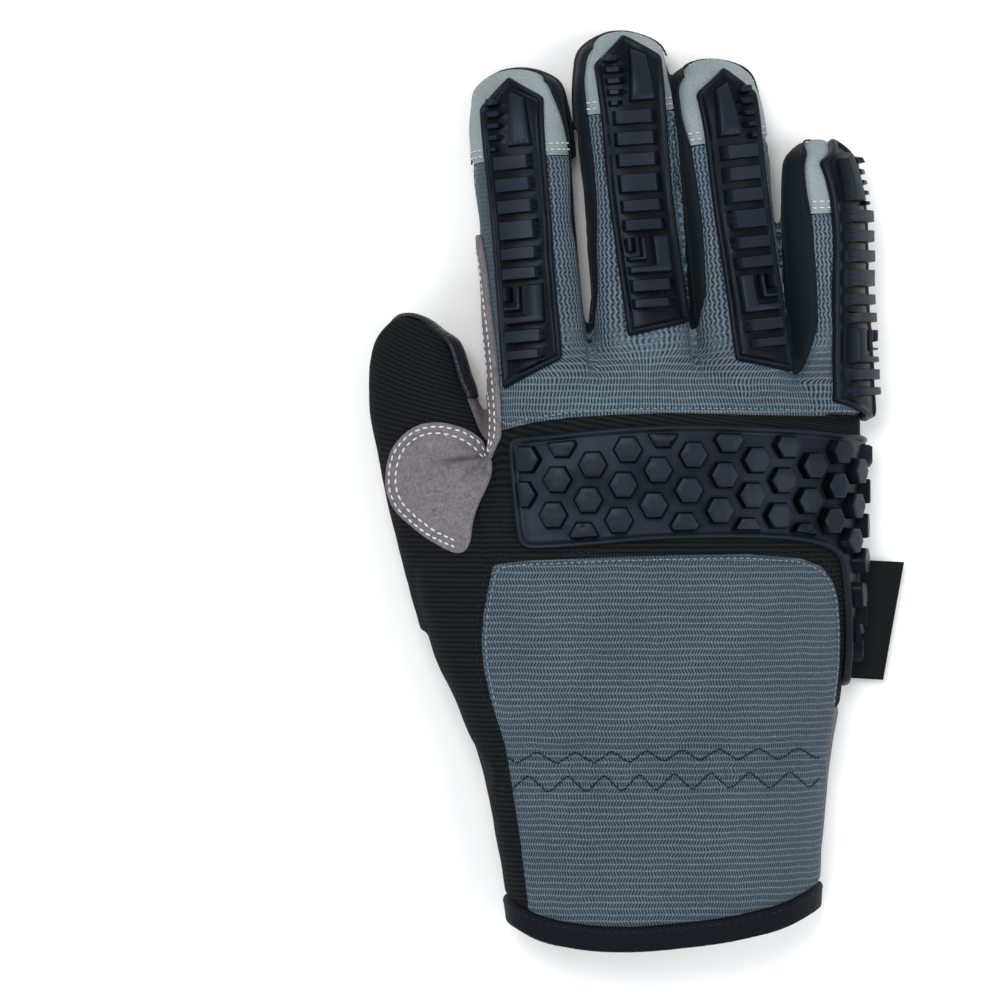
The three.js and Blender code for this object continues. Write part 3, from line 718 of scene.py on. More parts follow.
# Each crease's direction, its length and its depth
creases = [(3.24, 20, 1.3), (2.85, 12, 0.9), (2.45, 8, 0.8), (3.75, 15, 0.6), (4.2, 9, 0.5)]
creaseForm = {"width": 0.5, "widening": 0.05, "longest": 20, "fades": 0.45, "lowest": 9, "full": 14}


def creased(points):
    # How deep each point lies in one of the creases that run out of the thumb's crotch
    depth = np.zeros(len(points))
    for angle, length, most in creases:
        along = (points[:, :2] - creaseHub) @ (math.cos(angle), math.sin(angle))
        across = (points[:, :2] - creaseHub) @ (-math.sin(angle), math.cos(angle))
        width = creaseForm["width"] + creaseForm["widening"] * np.clip(along, 0, creaseForm["longest"])
        reach = smoothStep(-1, 2, along) * smoothStep(length, length * creaseForm["fades"], along)
        depth = np.maximum(depth, most * reach * np.exp(-(across / width) ** 2))
    return depth * smoothStep(creaseForm["lowest"], creaseForm["full"], points[:, 2])


# Depth, width and seed of the soft folds; the rest by where it lies on the glove
softFolds = [(0.32, 13.0, 3.0), (0.12, 5.0, 9.0)]
backHeights = (14, 20)
wristEdge = (-18, -26)
elastic = {"at": -78.3, "width": 7.0, "gather": 0.24, "pinch": 0.6, "pitch": 5.3, "finePitch": 3.4,
           "fine": 0.7, "sway": 1.3, "swayLength": 3.1}
puff = {"at": -66, "width": 7.0, "height": 0.5}
tucks = [(29, 0.22), (54, 0.2), (58.5, 0.16)]
tuckWidth = 1.3


def relieved(points, normals):
    # Soft folds all over, gathers along the elastic, and creases that run out of the thumb's crotch
    x, y, z = points.T
    wide, fine = (depth * noiseField(points, width, seed) for depth, width, seed in softFolds)
    amount = wide + fine
    back = smoothStep(*backHeights, z)
    onWrist = back * smoothStep(*wristEdge, y)
    band = np.exp(-((y - elastic["at"]) / elastic["width"]) ** 2)
    swayed = x + elastic["sway"] * np.sin(y / elastic["swayLength"])
    gathers = np.sin(2 * math.pi * swayed / elastic["pitch"])
    gathers = gathers + elastic["fine"] * np.sin(2 * math.pi * x / elastic["finePitch"] + 1)
    amount += onWrist * band * (elastic["gather"] * gathers - elastic["pinch"])
    amount += onWrist * puff["height"] * np.exp(-((y - puff["at"]) / puff["width"]) ** 2)
    # Tucks round the fingers where they bend
    for name in fingers:
        _, length, _ = fingerCoords(points, name)
        on = laneValue(points, name) > 0
        for bend, depth in tucks:
            amount -= on * depth * np.exp(-((length - bend) / tuckWidth) ** 2) * (1 - back)
    amount -= creased(points)
    # None of it where the glove lies on the floor
    limit = smoothStep(0.2, 3.0, z - 1.0)
    return points + normals * (amount * limit)[:, None]


normalRounds = {"folds": 12, "panels": 2}
skinNormals = vertexNormals(skinPoints, skinTriangles)
smoothNormals = smoothed(skinNormals, skinTriangles, normalRounds["folds"])
smoothNormals /= np.linalg.norm(smoothNormals, axis=1, keepdims=True)
skinPoints = relieved(skinPoints, smoothNormals)
skinNormals = smoothed(vertexNormals(skinPoints, skinTriangles), skinTriangles, normalRounds["panels"])
skinAcross, skinAlong = fabricCoords(skinPoints)
skinColumns = np.column_stack([skinPoints, skinNormals, skinAcross, skinAlong])
skinTree = BVHTree.FromPolygons([Vector(p) for p in skinPoints], [tuple(t) for t in skinTriangles.tolist()])
print("folds done")


def calc(tree, operation, *values):
    # One math node; each value is a number or a socket
    step = tree.nodes.new("ShaderNodeMath")
    step.operation = operation
    for socket, value in zip(step.inputs, values):
        if isinstance(value, (int, float)):
            socket.default_value = value
        else:
            tree.links.new(value, socket)
    return step.outputs[0]


def mixed(tree, factor, low, high):
    mix = tree.nodes.new("ShaderNodeMix")
    mix.data_type = "RGBA"
    for socket, value in ((mix.inputs[0], factor), (mix.inputs[6], low), (mix.inputs[7], high)):
        if isinstance(value, (int, float, tuple)):
            socket.default_value = value
        else:
            tree.links.new(value, socket)
    return mix.outputs[2]


def noiseTexture(tree, vector, scale, detail=2.0):
    texture = tree.nodes.new("ShaderNodeTexNoise")
    texture.inputs["Scale"].default_value = scale
    texture.inputs["Detail"].default_value = detail
    tree.links.new(vector, texture.inputs["Vector"])
    return texture.outputs[0]


def newGroup(name, inputs, outputs):
    tree = bpy.data.node_groups.new(name, "ShaderNodeTree")
    for title, kind, value in inputs:
        socket = tree.interface.new_socket(title, in_out="INPUT", socket_type="NodeSocket" + kind)
        if value is not None:
            socket.default_value = value
    for title, kind in outputs:
        tree.interface.new_socket(title, in_out="OUTPUT", socket_type="NodeSocket" + kind)
    return tree, tree.nodes.new("NodeGroupInput").outputs, tree.nodes.new("NodeGroupOutput").inputs


def uvParts(tree, vector):
    parts = tree.nodes.new("ShaderNodeSeparateXYZ")
    tree.links.new(vector, parts.inputs[0])
    return parts.outputs[0], parts.outputs[1]


# Noise scale and reach in mm of the threads' wandering, across and along
knitDrift = {"across": (0.22, 0.9), "along": (0.09, 1.1)}
knitBeads = {"least": 0.38, "rowPower": 2.4, "columnPower": 1.8, "lean": 0.9}
ribs = {"driftScale": 0.3, "drift": 0.5, "bendOver": 40.0, "threadShare": 0.3}
emboss = {"steepness": 9.0, "grainScale": 3.2, "grain": 0.35}
# Noise scales over Object coordinates, which are in metres
nap = {"fineScale": 1500, "brushedScale": 420, "fineShare": 0.6, "lowest": 0.32, "contrast": 2.8}
tintScales = {"speckle": 1700, "mottle": 55}


def drifted(tree, value, vector, scale, reach):
    # A coordinate that wanders a little, as threads do
    wander = calc(tree, "SUBTRACT", noiseTexture(tree, vector, scale), 0.5)
    return calc(tree, "ADD", value, calc(tree, "MULTIPLY", wander, reach))


def wave(tree, value, pitch):
    # Smooth ridges from 0 to 1, one for each pitch
    ridge = calc(tree, "SINE", calc(tree, "MULTIPLY", calc(tree, "DIVIDE", value, pitch), 2 * math.pi))
    return calc(tree, "MULTIPLY_ADD", ridge, 0.5, 0.5)


def clamped(tree, value):
    return calc(tree, "MAXIMUM", calc(tree, "MINIMUM", value, 1.0), 0.0)


def knitGroup():
    # Courses of slanted loops: open holes between raised rows and columns of thread
    tree, given, made = newGroup("knit", [
        ("Cloth", "Vector", None), ("Across", "Float", 0.86), ("Along", "Float", 1.77),
        ("Zigzag", "Float", 1.0), ("Rows", "Float", 1.0), ("Columns", "Float", 0.3),
    ], [("Height", "Float")])
    x, y = uvParts(tree, given["Cloth"])
    x = drifted(tree, x, given["Cloth"], *knitDrift["across"])
    y = drifted(tree, y, given["Cloth"], *knitDrift["along"])
    along = calc(tree, "DIVIDE", y, given["Along"])
    parity = calc(tree, "FLOORED_MODULO", calc(tree, "FLOOR", along), 2.0)
    inRow = calc(tree, "SUBTRACT", calc(tree, "FRACT", along), 0.5)
    lean = calc(tree, "SUBTRACT", calc(tree, "MULTIPLY", parity, 2.0), 1.0)
    slant = calc(tree, "MULTIPLY", calc(tree, "MULTIPLY", lean, inRow), given["Zigzag"])
    slant = calc(tree, "MULTIPLY", slant, knitBeads["lean"])
    across = calc(tree, "ADD", calc(tree, "DIVIDE", x, given["Across"]), slant)
    inColumn = calc(tree, "SUBTRACT", calc(tree, "FRACT", across), 0.5)
    fromRow = calc(tree, "MULTIPLY", calc(tree, "ABSOLUTE", inRow), 2.0)
    fromColumn = calc(tree, "MULTIPLY", calc(tree, "ABSOLUTE", inColumn), 2.0)
    beads = calc(tree, "MULTIPLY_ADD", fromColumn, 1 - knitBeads["least"], knitBeads["least"])
    rowRidge = calc(tree, "MULTIPLY", calc(tree, "POWER", fromRow, knitBeads["rowPower"]), given["Rows"])
    rowRidge = calc(tree, "MULTIPLY", rowRidge, beads)
    columnRidge = calc(tree, "POWER", fromColumn, knitBeads["columnPower"])
    columnRidge = calc(tree, "MULTIPLY", columnRidge, given["Columns"])
    tree.links.new(calc(tree, "MAXIMUM", rowRidge, columnRidge), made["Height"])
    return tree


def ribGroup():
    # Rounded ribs with fine threads across them
    tree, given, made = newGroup("ribs", [
        ("Cloth", "Vector", None), ("Pitch", "Float", 1.4), ("Thread", "Float", 0.55),
        ("Turn", "Float", 0.0), ("Bend", "Float", 0.0),
    ], [("Height", "Float")])
    x, y = uvParts(tree, given["Cloth"])
    upper = clamped(tree, calc(tree, "DIVIDE", y, ribs["bendOver"]))
    slope = calc(tree, "MULTIPLY_ADD", upper, given["Bend"], given["Turn"])
    turned = calc(tree, "ADD", y, calc(tree, "MULTIPLY", x, slope))
    wander = noiseTexture(tree, given["Cloth"], ribs["driftScale"])
    turned = calc(tree, "ADD", turned, calc(tree, "MULTIPLY", wander, ribs["drift"]))
    rib = calc(tree, "MULTIPLY", wave(tree, turned, given["Pitch"]), 1 - ribs["threadShare"])
    thread = wave(tree, x, given["Thread"])
    tree.links.new(calc(tree, "MULTIPLY_ADD", thread, ribs["threadShare"], rib), made["Height"])
    return tree


def hexagonGroup():
    # Embossed hexagon cells, by the distance to the nearest cell's edge, with a fine grain over them
    tree, given, made = newGroup("hexagons", [("Cloth", "Vector", None), ("Pitch", "Float", 2.2)],
                                 [("Height", "Float")])
    x, y = uvParts(tree, given["Cloth"])
    x, y = calc(tree, "DIVIDE", x, given["Pitch"]), calc(tree, "DIVIDE", y, given["Pitch"])
    tall = math.sqrt(3)
    cells = []
    for shift in (0.0, 0.5):
        cellX = calc(tree, "FLOORED_MODULO", calc(tree, "ADD", x, shift), 1.0)
        cellX = calc(tree, "SUBTRACT", cellX, 0.5)
        cellY = calc(tree, "FLOORED_MODULO", calc(tree, "ADD", y, shift * tall), tall)
        cellY = calc(tree, "SUBTRACT", cellY, tall / 2)
        flatX, flatY = calc(tree, "ABSOLUTE", cellX), calc(tree, "ABSOLUTE", cellY)
        slanted = calc(tree, "MULTIPLY_ADD", flatX, 0.5, calc(tree, "MULTIPLY", flatY, tall / 2))
        cells.append(calc(tree, "MAXIMUM", flatX, slanted))
    edge = calc(tree, "SUBTRACT", 0.5, calc(tree, "MINIMUM", *cells))
    grain = noiseTexture(tree, given["Cloth"], emboss["grainScale"], 3.0)
    raised = calc(tree, "MINIMUM", calc(tree, "MULTIPLY", edge, emboss["steepness"]), 1.0)
    tree.links.new(calc(tree, "MULTIPLY_ADD", grain, emboss["grain"], raised), made["Height"])
    return tree


def napGroup():
    # Suede: short nap brushed unevenly, with fine pores
    tree, given, made = newGroup("nap", [("Object", "Vector", None)], [("Height", "Float")])
    fine = noiseTexture(tree, given["Object"], nap["fineScale"], 3.0)
    brushed = noiseTexture(tree, given["Object"], nap["brushedScale"], 3.0)
    brushed = calc(tree, "MULTIPLY", brushed, 1 - nap["fineShare"])
    height = calc(tree, "MULTIPLY_ADD", fine, nap["fineShare"], brushed)
    height = calc(tree, "MULTIPLY", calc(tree, "SUBTRACT", height, nap["lowest"]), nap["contrast"])
    tree.links.new(height, made["Height"])
    return tree


def tintGroup():
    # Colour from the hollows to the raised threads, with speckle from thread to thread and wide mottling
    tree, given, made = newGroup("tint", [
        ("Height", "Float", 0.5), ("Object", "Vector", None), ("Low", "Color", None),
        ("High", "Color", None), ("Speckle", "Float", 0.25), ("Mottle", "Float", 0.12),
    ], [("Color", "Color")])
    colour = mixed(tree, clamped(tree, given["Height"]), given["Low"], given["High"])
    speckle = noiseTexture(tree, given["Object"], tintScales["speckle"], 1.0)
    speckle = calc(tree, "SUBTRACT", speckle, 0.5)
    mottle = noiseTexture(tree, given["Object"], tintScales["mottle"], 2.0)
    mottle = calc(tree, "SUBTRACT", mottle, 0.5)
    shade = calc(tree, "MULTIPLY_ADD", calc(tree, "MULTIPLY", speckle, given["Speckle"]), 2.0, 1.0)
    shade = calc(tree, "MULTIPLY_ADD", calc(tree, "MULTIPLY", mottle, given["Mottle"]), 2.0, shade)
    scaled = tree.nodes.new("ShaderNodeVectorMath")
    scaled.operation = "SCALE"
    tree.links.new(colour, scaled.inputs[0])
    tree.links.new(shade, scaled.inputs["Scale"])
    tree.links.new(scaled.outputs[0], made["Color"])
    return tree


patterns = {"knit": knitGroup(), "ribs": ribGroup(), "hexagons": hexagonGroup(), "nap": napGroup()}
tint = tintGroup()


def place(tree, group, **values):
    # A group in a material, with its own value or link for each named input
    step = tree.nodes.new("ShaderNodeGroup")
    step.node_tree = group
    for title, value in values.items():
        socket = step.inputs[title]
        if isinstance(value, (int, float, tuple)):
            socket.default_value = value
        else:
            tree.links.new(value, socket)
    return step.outputs[0]


fingerKnit = {"from": 36.0, "over": 12.0}  # where the knuckles' knit turns into the fingers', by y


def makeMaterial(name, look):
    material = bpy.data.materials.new(name)
    material.use_nodes = True
    tree = material.node_tree
    shader = tree.nodes["Principled BSDF"]
    shader.inputs["Roughness"].default_value = look["roughness"]
    shader.inputs["Specular IOR Level"].default_value = look.get("specular", 0.15)
    if "reflection" in look:
        shader.inputs["Specular Tint"].default_value = (*look["reflection"], 1)
    if "sheen" in look:
        shader.inputs["Sheen Weight"].default_value = look["sheen"]
        shader.inputs["Sheen Roughness"].default_value = 0.5
    coords = tree.nodes.new("ShaderNodeTexCoord")
    cloth = tree.nodes.new("ShaderNodeUVMap")
    cloth.uv_map = "cloth"
    source = {"Cloth": cloth.outputs["UV"]}
    if look["pattern"] == "nap":
        source = {"Object": coords.outputs["Object"]}
    if look["pattern"] == "grain":
        height = noiseTexture(tree, coords.outputs["Object"], look["grain"], 2.0)
    elif look["pattern"] == "twoKnits":
        # The same knit, stretched along the fingers and square over the knuckles
        parts = uvParts(tree, cloth.outputs["UV"])
        onFinger = calc(tree, "SUBTRACT", parts[1], fingerKnit["from"])
        onFinger = clamped(tree, calc(tree, "DIVIDE", onFinger, fingerKnit["over"]))
        hand = place(tree, patterns["knit"], **source, **look["hand"])
        finger = place(tree, patterns["knit"], **source, **look["finger"])
        blended = calc(tree, "MULTIPLY", finger, onFinger)
        onHand = calc(tree, "SUBTRACT", 1.0, onFinger)
        height = calc(tree, "ADD", blended, calc(tree, "MULTIPLY", hand, onHand))
    else:
        height = place(tree, patterns[look["pattern"]], **source, **look.get("set", {}))
    colour = place(tree, tint, Height=height, Object=coords.outputs["Object"], Low=(*look["low"], 1),
                   High=(*look["high"], 1), Speckle=look["speckle"], Mottle=look["mottle"])
    if "paintedShade" in look:
        # Painted shade: the colour goes towards a dark shade colour where the piece's own attribute says
        # less light reaches
        lit = tree.nodes.new("ShaderNodeAttribute")
        lit.attribute_name = "lit"
        colour = mixed(tree, lit.outputs["Fac"], (*look["paintedShade"], 1), colour)
    tree.links.new(colour, shader.inputs["Base Color"])
    bump = tree.nodes.new("ShaderNodeBump")
    bump.inputs["Distance"].default_value = look["bump"] * metre
    bump.inputs["Strength"].default_value = look.get("strength", 0.8)
    tree.links.new(height, bump.inputs["Height"])
    tree.links.new(bump.outputs[0], shader.inputs["Normal"])
    return material


# Every finish: the colours of its hollows and of its raised threads or grain, its gloss and its pattern, and
# for the rubber and the patch a painted shade colour
looks = {
    "knit": {"pattern": "knit", "low": (0.004, 0.008, 0.014), "high": (0.175, 0.25, 0.305), "roughness": 0.8,
             "speckle": 0.4, "mottle": 0.2, "bump": 0.35, "sheen": 0.04,
             "set": {"Across": 0.86, "Along": 1.77, "Zigzag": 1.0, "Rows": 0.88, "Columns": 0.6}},
    "knuckle": {"pattern": "twoKnits", "low": (0.004, 0.008, 0.014), "high": (0.19, 0.27, 0.33),
                "roughness": 0.8, "speckle": 0.4, "mottle": 0.2, "bump": 0.35, "sheen": 0.04,
                "hand": {"Across": 1.03, "Along": 1.85, "Zigzag": 0.2, "Rows": 0.95, "Columns": 0.75},
                "finger": {"Across": 1.22, "Along": 1.3, "Zigzag": 0.5, "Rows": 0.68, "Columns": 0.85}},
    "rib": {"pattern": "ribs", "low": (0.002, 0.0027, 0.003), "high": (0.0105, 0.0135, 0.0145),
            "roughness": 0.85, "specular": 0.06, "speckle": 0.3, "mottle": 0.2, "bump": 0.18,
            "set": {"Pitch": 1.4, "Thread": 0.6, "Turn": 0.0, "Bend": 0.35}},
    "stretch": {"pattern": "ribs", "low": (0.002, 0.004, 0.006), "high": (0.0065, 0.012, 0.0165),
                "roughness": 0.6, "specular": 0.07, "speckle": 0.3, "mottle": 0.25, "bump": 0.08,
                "sheen": 0.04, "set": {"Pitch": 0.5, "Thread": 0.5}},
    "cap": {"pattern": "ribs", "low": (0.17, 0.205, 0.208), "high": (0.265, 0.312, 0.316), "roughness": 0.6,
            "speckle": 0.25, "mottle": 0.15, "bump": 0.06, "set": {"Pitch": 0.45, "Thread": 0.45}},
    "suede": {"pattern": "nap", "low": (0.07, 0.064, 0.069), "high": (0.15, 0.137, 0.146), "roughness": 0.95,
              "speckle": 0.15, "mottle": 0.2, "bump": 0.12, "sheen": 0.05},
    "patch": {"pattern": "nap", "low": (0.085, 0.08, 0.087), "high": (0.185, 0.174, 0.186),
              "paintedShade": (0.03, 0.028, 0.03), "roughness": 0.95, "speckle": 0.15, "mottle": 0.15,
              "bump": 0.14, "sheen": 0.05},
    "leather": {"pattern": "hexagons", "low": (0.0025, 0.004, 0.006), "high": (0.009, 0.014, 0.021),
                "roughness": 0.42, "specular": 0.3, "speckle": 0.15, "mottle": 0.25, "bump": 0.12,
                "set": {"Pitch": 2.2}},
    "rubber": {"pattern": "grain", "grain": 2600, "low": (0.0065, 0.0088, 0.0125),
               "high": (0.0105, 0.014, 0.0195), "paintedShade": (0.0003, 0.0006, 0.001), "roughness": 0.38,
               "specular": 0.15, "reflection": (0.66, 0.8, 1.0), "speckle": 0.1, "mottle": 0.2, "bump": 0.02,
               "strength": 0.5},
    "binding": {"pattern": "ribs", "low": (0.0015, 0.002, 0.004), "high": (0.0038, 0.0048, 0.0095),
                "roughness": 0.7, "specular": 0.1, "speckle": 0.2, "mottle": 0.2, "bump": 0.1,
                "set": {"Pitch": 0.9, "Thread": 0.6, "Turn": 0.25}},
    "label": {"pattern": "ribs", "low": (0.003, 0.0035, 0.004), "high": (0.009, 0.0098, 0.0115),
              "roughness": 0.7, "specular": 0.08, "speckle": 0.15, "mottle": 0.15, "bump": 0.06,
              "set": {"Pitch": 0.5, "Thread": 0.5}},
    "thread": {"pattern": "grain", "grain": 4000, "low": (0.4, 0.4, 0.42), "high": (0.66, 0.66, 0.68),
               "roughness": 0.6, "speckle": 0.1, "mottle": 0.1, "bump": 0.05},
    "blueThread": {"pattern": "grain", "grain": 4000, "low": (0.1, 0.16, 0.21), "high": (0.19, 0.27, 0.33),
                   "roughness": 0.6, "speckle": 0.1, "mottle": 0.1, "bump": 0.05},
    "darkThread": {"pattern": "grain", "grain": 4000, "low": (0.003, 0.005, 0.01),
                   "high": (0.008, 0.013, 0.024), "roughness": 0.6, "speckle": 0.1, "mottle": 0.1,
                   "bump": 0.05},
    "floor": {"pattern": "grain", "grain": 40, "low": (0.92, 0.92, 0.92), "high": (0.95, 0.95, 0.95),
              "roughness": 0.9, "speckle": 0.0, "mottle": 0.02, "bump": 0.0},
}
materials = {name: makeMaterial(name + "_look", look) for name, look in looks.items()}
print("materials done")

cloth = {"thickness": 1.4, "groove": 0.6, "width": 1.1, "levels": [0.0, 0.5, 1.0, 1.8], "tuckedIn": 0.2}
hemEdge = hemValue(skinPoints) - bindingWidth + cloth["tuckedIn"]
panelSlots = {
    "wrist_knit": "knit", "knuckle_strip": "rib", "knuckle_knit": "knit", "cap_index": "cap",
    "cap_middle": "cap", "cap_ring": "cap", "cap_little": "cap", "fourchette_index_middle": "stretch",
    "fourchette_middle_ring": "stretch", "fourchette_ring_little": "stretch", "side_knit": "rib",
    "palm_suede": "suede",
}


def buildPanels():
    # Each panel is a thin shell that dips along its seams
    regions = regionValues(skinPoints)
    regions["palm_suede"] = np.full(len(skinPoints), float(noLimit))  # takes all that is left
    claimed = -regions["palm_suede"]
    for name, region in regions.items():
        value = np.minimum(np.minimum(region, -claimed), hemEdge)
        claimed = np.maximum(claimed, region)
        columns, triangles, value = clipped(skinColumns, skinTriangles, value, cloth["levels"])
        outer = -cloth["groove"] * np.exp(-(value / cloth["width"]) ** 2)
        piece = shellPiece(name + "_cloth", columns, triangles, outer, -cloth["thickness"])
        look = "knuckle" if name == "knuckle_knit" else panelSlots[name]
        piece.data.materials.append(materials[look])
        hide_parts(name)
    print("panels done,", len(regions), "pieces")


buildPanels()

binding = {"outer": 0.75, "inner": -2.0, "edgeOuter": -0.8, "edgeInner": -1.2, "round": 1.2,
           "levels": [0.0, 0.25, 0.6, 1.2]}


def buildBinding():
    # Tape folded over the cuff's edge, rounded at both of its own edges
    end = hemValue(skinPoints)
    value = np.minimum(end, bindingWidth - end)
    columns, triangles, value = clipped(skinColumns, skinTriangles, value, binding["levels"])
    rise = np.sqrt(np.clip(1 - (1 - np.clip(value / binding["round"], 0, 1)) ** 2, 0, 1))
    outer = binding["edgeOuter"] + (binding["outer"] - binding["edgeOuter"]) * rise
    inner = binding["edgeInner"] + (binding["inner"] - binding["edgeInner"]) * rise
    piece = shellPiece("binding", columns, triangles, outer, inner)
    piece.data.materials.append(materials["binding"])
    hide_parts("cuff_binding")


buildBinding()

patch = {"lift": 0.3, "thickness": 1.1, "round": 0.7, "edge": 0.45, "levels": [0.0, 0.15, 0.4, 0.8],
         "creaseShade": 0.6}


def addShade(piece, values):
    # How much of the light reaches each point: less in the hollows and down the walls
    shade = piece.data.attributes.new("lit", "FLOAT", "POINT")
    shade.data.foreach_set("value", np.asarray(values, dtype=np.float32))


def buildPatch(name, node, value, slot):
    # A piece of leather sewn on over the cloth, with a rounded edge
    columns, triangles, value = clipped(skinColumns, skinTriangles, value, patch["levels"])
    share = 1 - np.clip(value / patch["round"], 0, 1)
    full = patch["edge"] + (1 - patch["edge"]) * np.sqrt(1 - share ** 2)
    outer = patch["lift"] + patch["thickness"] * full
    piece = shellPiece(name, columns, triangles, outer, patch["lift"])
    piece.data.materials.append(materials[slot])
    # Painted shade: the patch's colour is darkened along the creases that run out of the thumb's crotch
    lit = 1 - patch["creaseShade"] * np.clip(creased(columns[:, :3]), 0, 1)
    addShade(piece, np.concatenate([lit, lit]))
    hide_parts(node)


saddleOutline = [
    (-40.8, 9.9), (-44.2, 14.2), (-49.2, 17.5), (-55.5, 19.2), (-61.1, 18.7), (-66.2, 15.3), (-69.6, 9.9),
    (-70.3, 2), (-69.4, -2), (-67.4, -6.2), (-62.5, -10.8), (-57, -15), (-51.2, -18.1), (-47.8, -17.4),
    (-46.4, -14), (-46.2, -9.9), (-44.6, -4.5), (-42, 0.5), (-40.3, 5.2),
]
indexSaddleOutline = [
    (-50, 73.5), (-43.8, 73.5), (-42.9, 69.5), (-41.8, 62.8), (-40.7, 51.9), (-39.8, 45), (-39.0, 37.7),
    (-38.1, 26.8), (-37.8, 19), (-38, 12), (-39.4, 8.4), (-41.2, 5.5), (-42.4, 8), (-41.4, 14), (-40.9, 20),
    (-41.4, 27), (-44.2, 37), (-47, 46), (-49, 54),
]
thumbPatchOutline = [(-100, 90), (-54, 90), (-50.4, 54), (-48, 38), (-45.4, 26), (-100, 22)]
stripHeights = (6, 30)
tipPatchLength = 27
thumbPatchReach = 1.2


def saddleValue(points):
    return np.minimum(insideOutline(points, rounded(saddleOutline)), points[:, 2] - sideFrom)


def stripValue(points):
    height = np.minimum(points[:, 2] - stripHeights[0], stripHeights[1] - points[:, 2])
    return np.minimum(insideOutline(points, rounded(indexSaddleOutline)), height)


def buildPatches():
    points = skinPoints
    buildPatch("saddle_patch", "thumb_saddle", saddleValue(points), "patch")
    buildPatch("index_strip", "index_saddle", stripValue(points), "patch")
    for name in ("index", "middle"):
        tip = slab(points, name, beyondTip, tipPatchLength, -noLimit, padSide[name])
        buildPatch(name + "_tip_leather", name + "_tip_patch", tip, "leather")
    reach = thumbPadValue(points) + thumbPatchReach
    value = np.minimum(reach, insideOutline(points, thumbPatchOutline))
    buildPatch("thumb_leather", "thumb_patch", value, "leather")


buildPatches()
print("patches done")


def skinHit(start, direction):
    # Where a ray meets the skin: the point, and the smooth normal there
    hit, _, face, _ = skinTree.ray_cast(Vector(start), Vector(direction))
    if hit is None:
        hit, _, face, _ = skinTree.find_nearest(Vector(start))
    hit = np.array(hit)
    corners = skinTriangles[face]
    a, b, c = skinPoints[corners]
    weights = np.array([
        np.linalg.norm(np.cross(b - hit, c - hit)), np.linalg.norm(np.cross(c - hit, a - hit)),
        np.linalg.norm(np.cross(a - hit, b - hit)),
    ])
    normal = (smoothNormals[corners] * weights[:, None]).sum(axis=0)
    return hit, normal / np.linalg.norm(normal)


def denser(outline, step):
    # A closed outline with more points, none further apart than the step
    points = []
    outline = np.asarray(outline, dtype=float)
    for start, end in zip(outline, np.roll(outline, -1, axis=0)):
        count = max(1, math.ceil(np.linalg.norm(end - start) / step))
        points += [start + (end - start) * i / count for i in range(count)]
    return np.array(points)


def inset(outline, distance):
    # A closed outline moved inwards by a distance
    outline = np.asarray(outline, dtype=float)
    following = np.roll(outline, -1, axis=0) - outline
    area = np.cross(outline, np.roll(outline, -1, axis=0)).sum()
    normals = np.stack([-following[:, 1], following[:, 0]], axis=1) * np.sign(area)
    normals /= np.linalg.norm(normals, axis=1, keepdims=True)
    before = np.roll(normals, 1, axis=0)
    mitre = normals + before
    mitre /= np.maximum(1 + (normals * before).sum(axis=1), 0.5)[:, None]
    return outline + mitre * distance


def gridInside(outline, step, margin):
    low, high = outline.min(axis=0), outline.max(axis=0)
    xs, ys = np.meshgrid(np.arange(low[0], high[0], step), np.arange(low[1], high[1], step))
    points = np.stack([xs.ravel(), ys.ravel()], axis=1)
    return points[insideOutline(points, outline) > margin]


def flatMesh(outline, rings, loose):
    # A triangulated flat sheet with points along every ring, and loose points between them
    points = [tuple(p) for p in outline]
    edges = [(i, (i + 1) % len(outline)) for i in range(len(outline))]
    for ring in rings:
        start = len(points)
        points += [tuple(p) for p in ring]
        edges += [(start + i, start + (i + 1) % len(ring)) for i in range(len(ring))]
    points += [tuple(p) for p in loose]
    face = [list(range(len(outline)))]
    flat, _, faces, _, _, _ = delaunay_2d_cdt([Vector(p) for p in points], edges, face, 1, 1e-4)
    flat = np.array([tuple(p) for p in flat])
    triangles = np.array([tuple(f) for f in faces])
    a, b, c = (flat[triangles[:, i]] for i in range(3))
    turned = np.cross(b - a, c - a) < 0
    triangles[turned] = triangles[turned][:, ::-1]
    return flat, triangles


def risen(distance, profile):
    # Height over a profile of (distance in from the edge, height)
    profile = np.array(profile)
    return np.interp(distance, profile[:, 0], profile[:, 1])


# Sections of the moulded rubber: distance in from the edge, and height
rimProfile = [
    (0, 0.35), (0.22, 1.2), (0.55, 1.75), (0.95, 1.9), (1.35, 1.75), (1.7, 1.25), (2.05, 1.05), (2.6, 1.15),
]
blockProfile = [(0, 0), (0.3, 2.5), (0.42, 2.85), (0.6, 2.95)]
studProfile = [(0, 0), (0.34, 2.7), (0.5, 3.02), (0.72, 3.12)]
rimWidth = 2.9
ringSlack = 0.12
outlineStep = 1.6
mouldedCrease = 50  # degrees
rayReach = 40

guards = {
    "index": {"start": 3.6, "length": 88, "scale": 0.98, "mirror": 1, "slant": 7, "turn": 0.6,
              "shift": 0},
    "middle": {"start": 2.4, "length": 85.5, "scale": 1.04, "mirror": 1, "slant": 2.8, "turn": 0.8,
               "shift": 0},
    "ring": {"start": 4.2, "length": 88, "scale": 0.94, "mirror": -1, "slant": 5, "turn": -0.6,
             "shift": 0.9},
    "little": {"start": 1.0, "length": 80, "scale": 0.98, "mirror": -1, "slant": 5.4, "turn": -3.6,
               "shift": 0.6},
}
guardHalf = 9.0
guardDrawnLength = 88
guardCorner = {"cut": 1.1, "bulge": 0.3, "tiny": 0.01}
guardGrid = {"outline": 1.4, "field": 1.7}
# Painted shade on the finger guards' colour, by block height and along the rim
guardShade = {"least": 0.12, "from": 1.6, "over": 0.4, "rim": 0.35, "rimWidth": 1.5}
sideFlattening = {"share": 0.4, "most": 4}
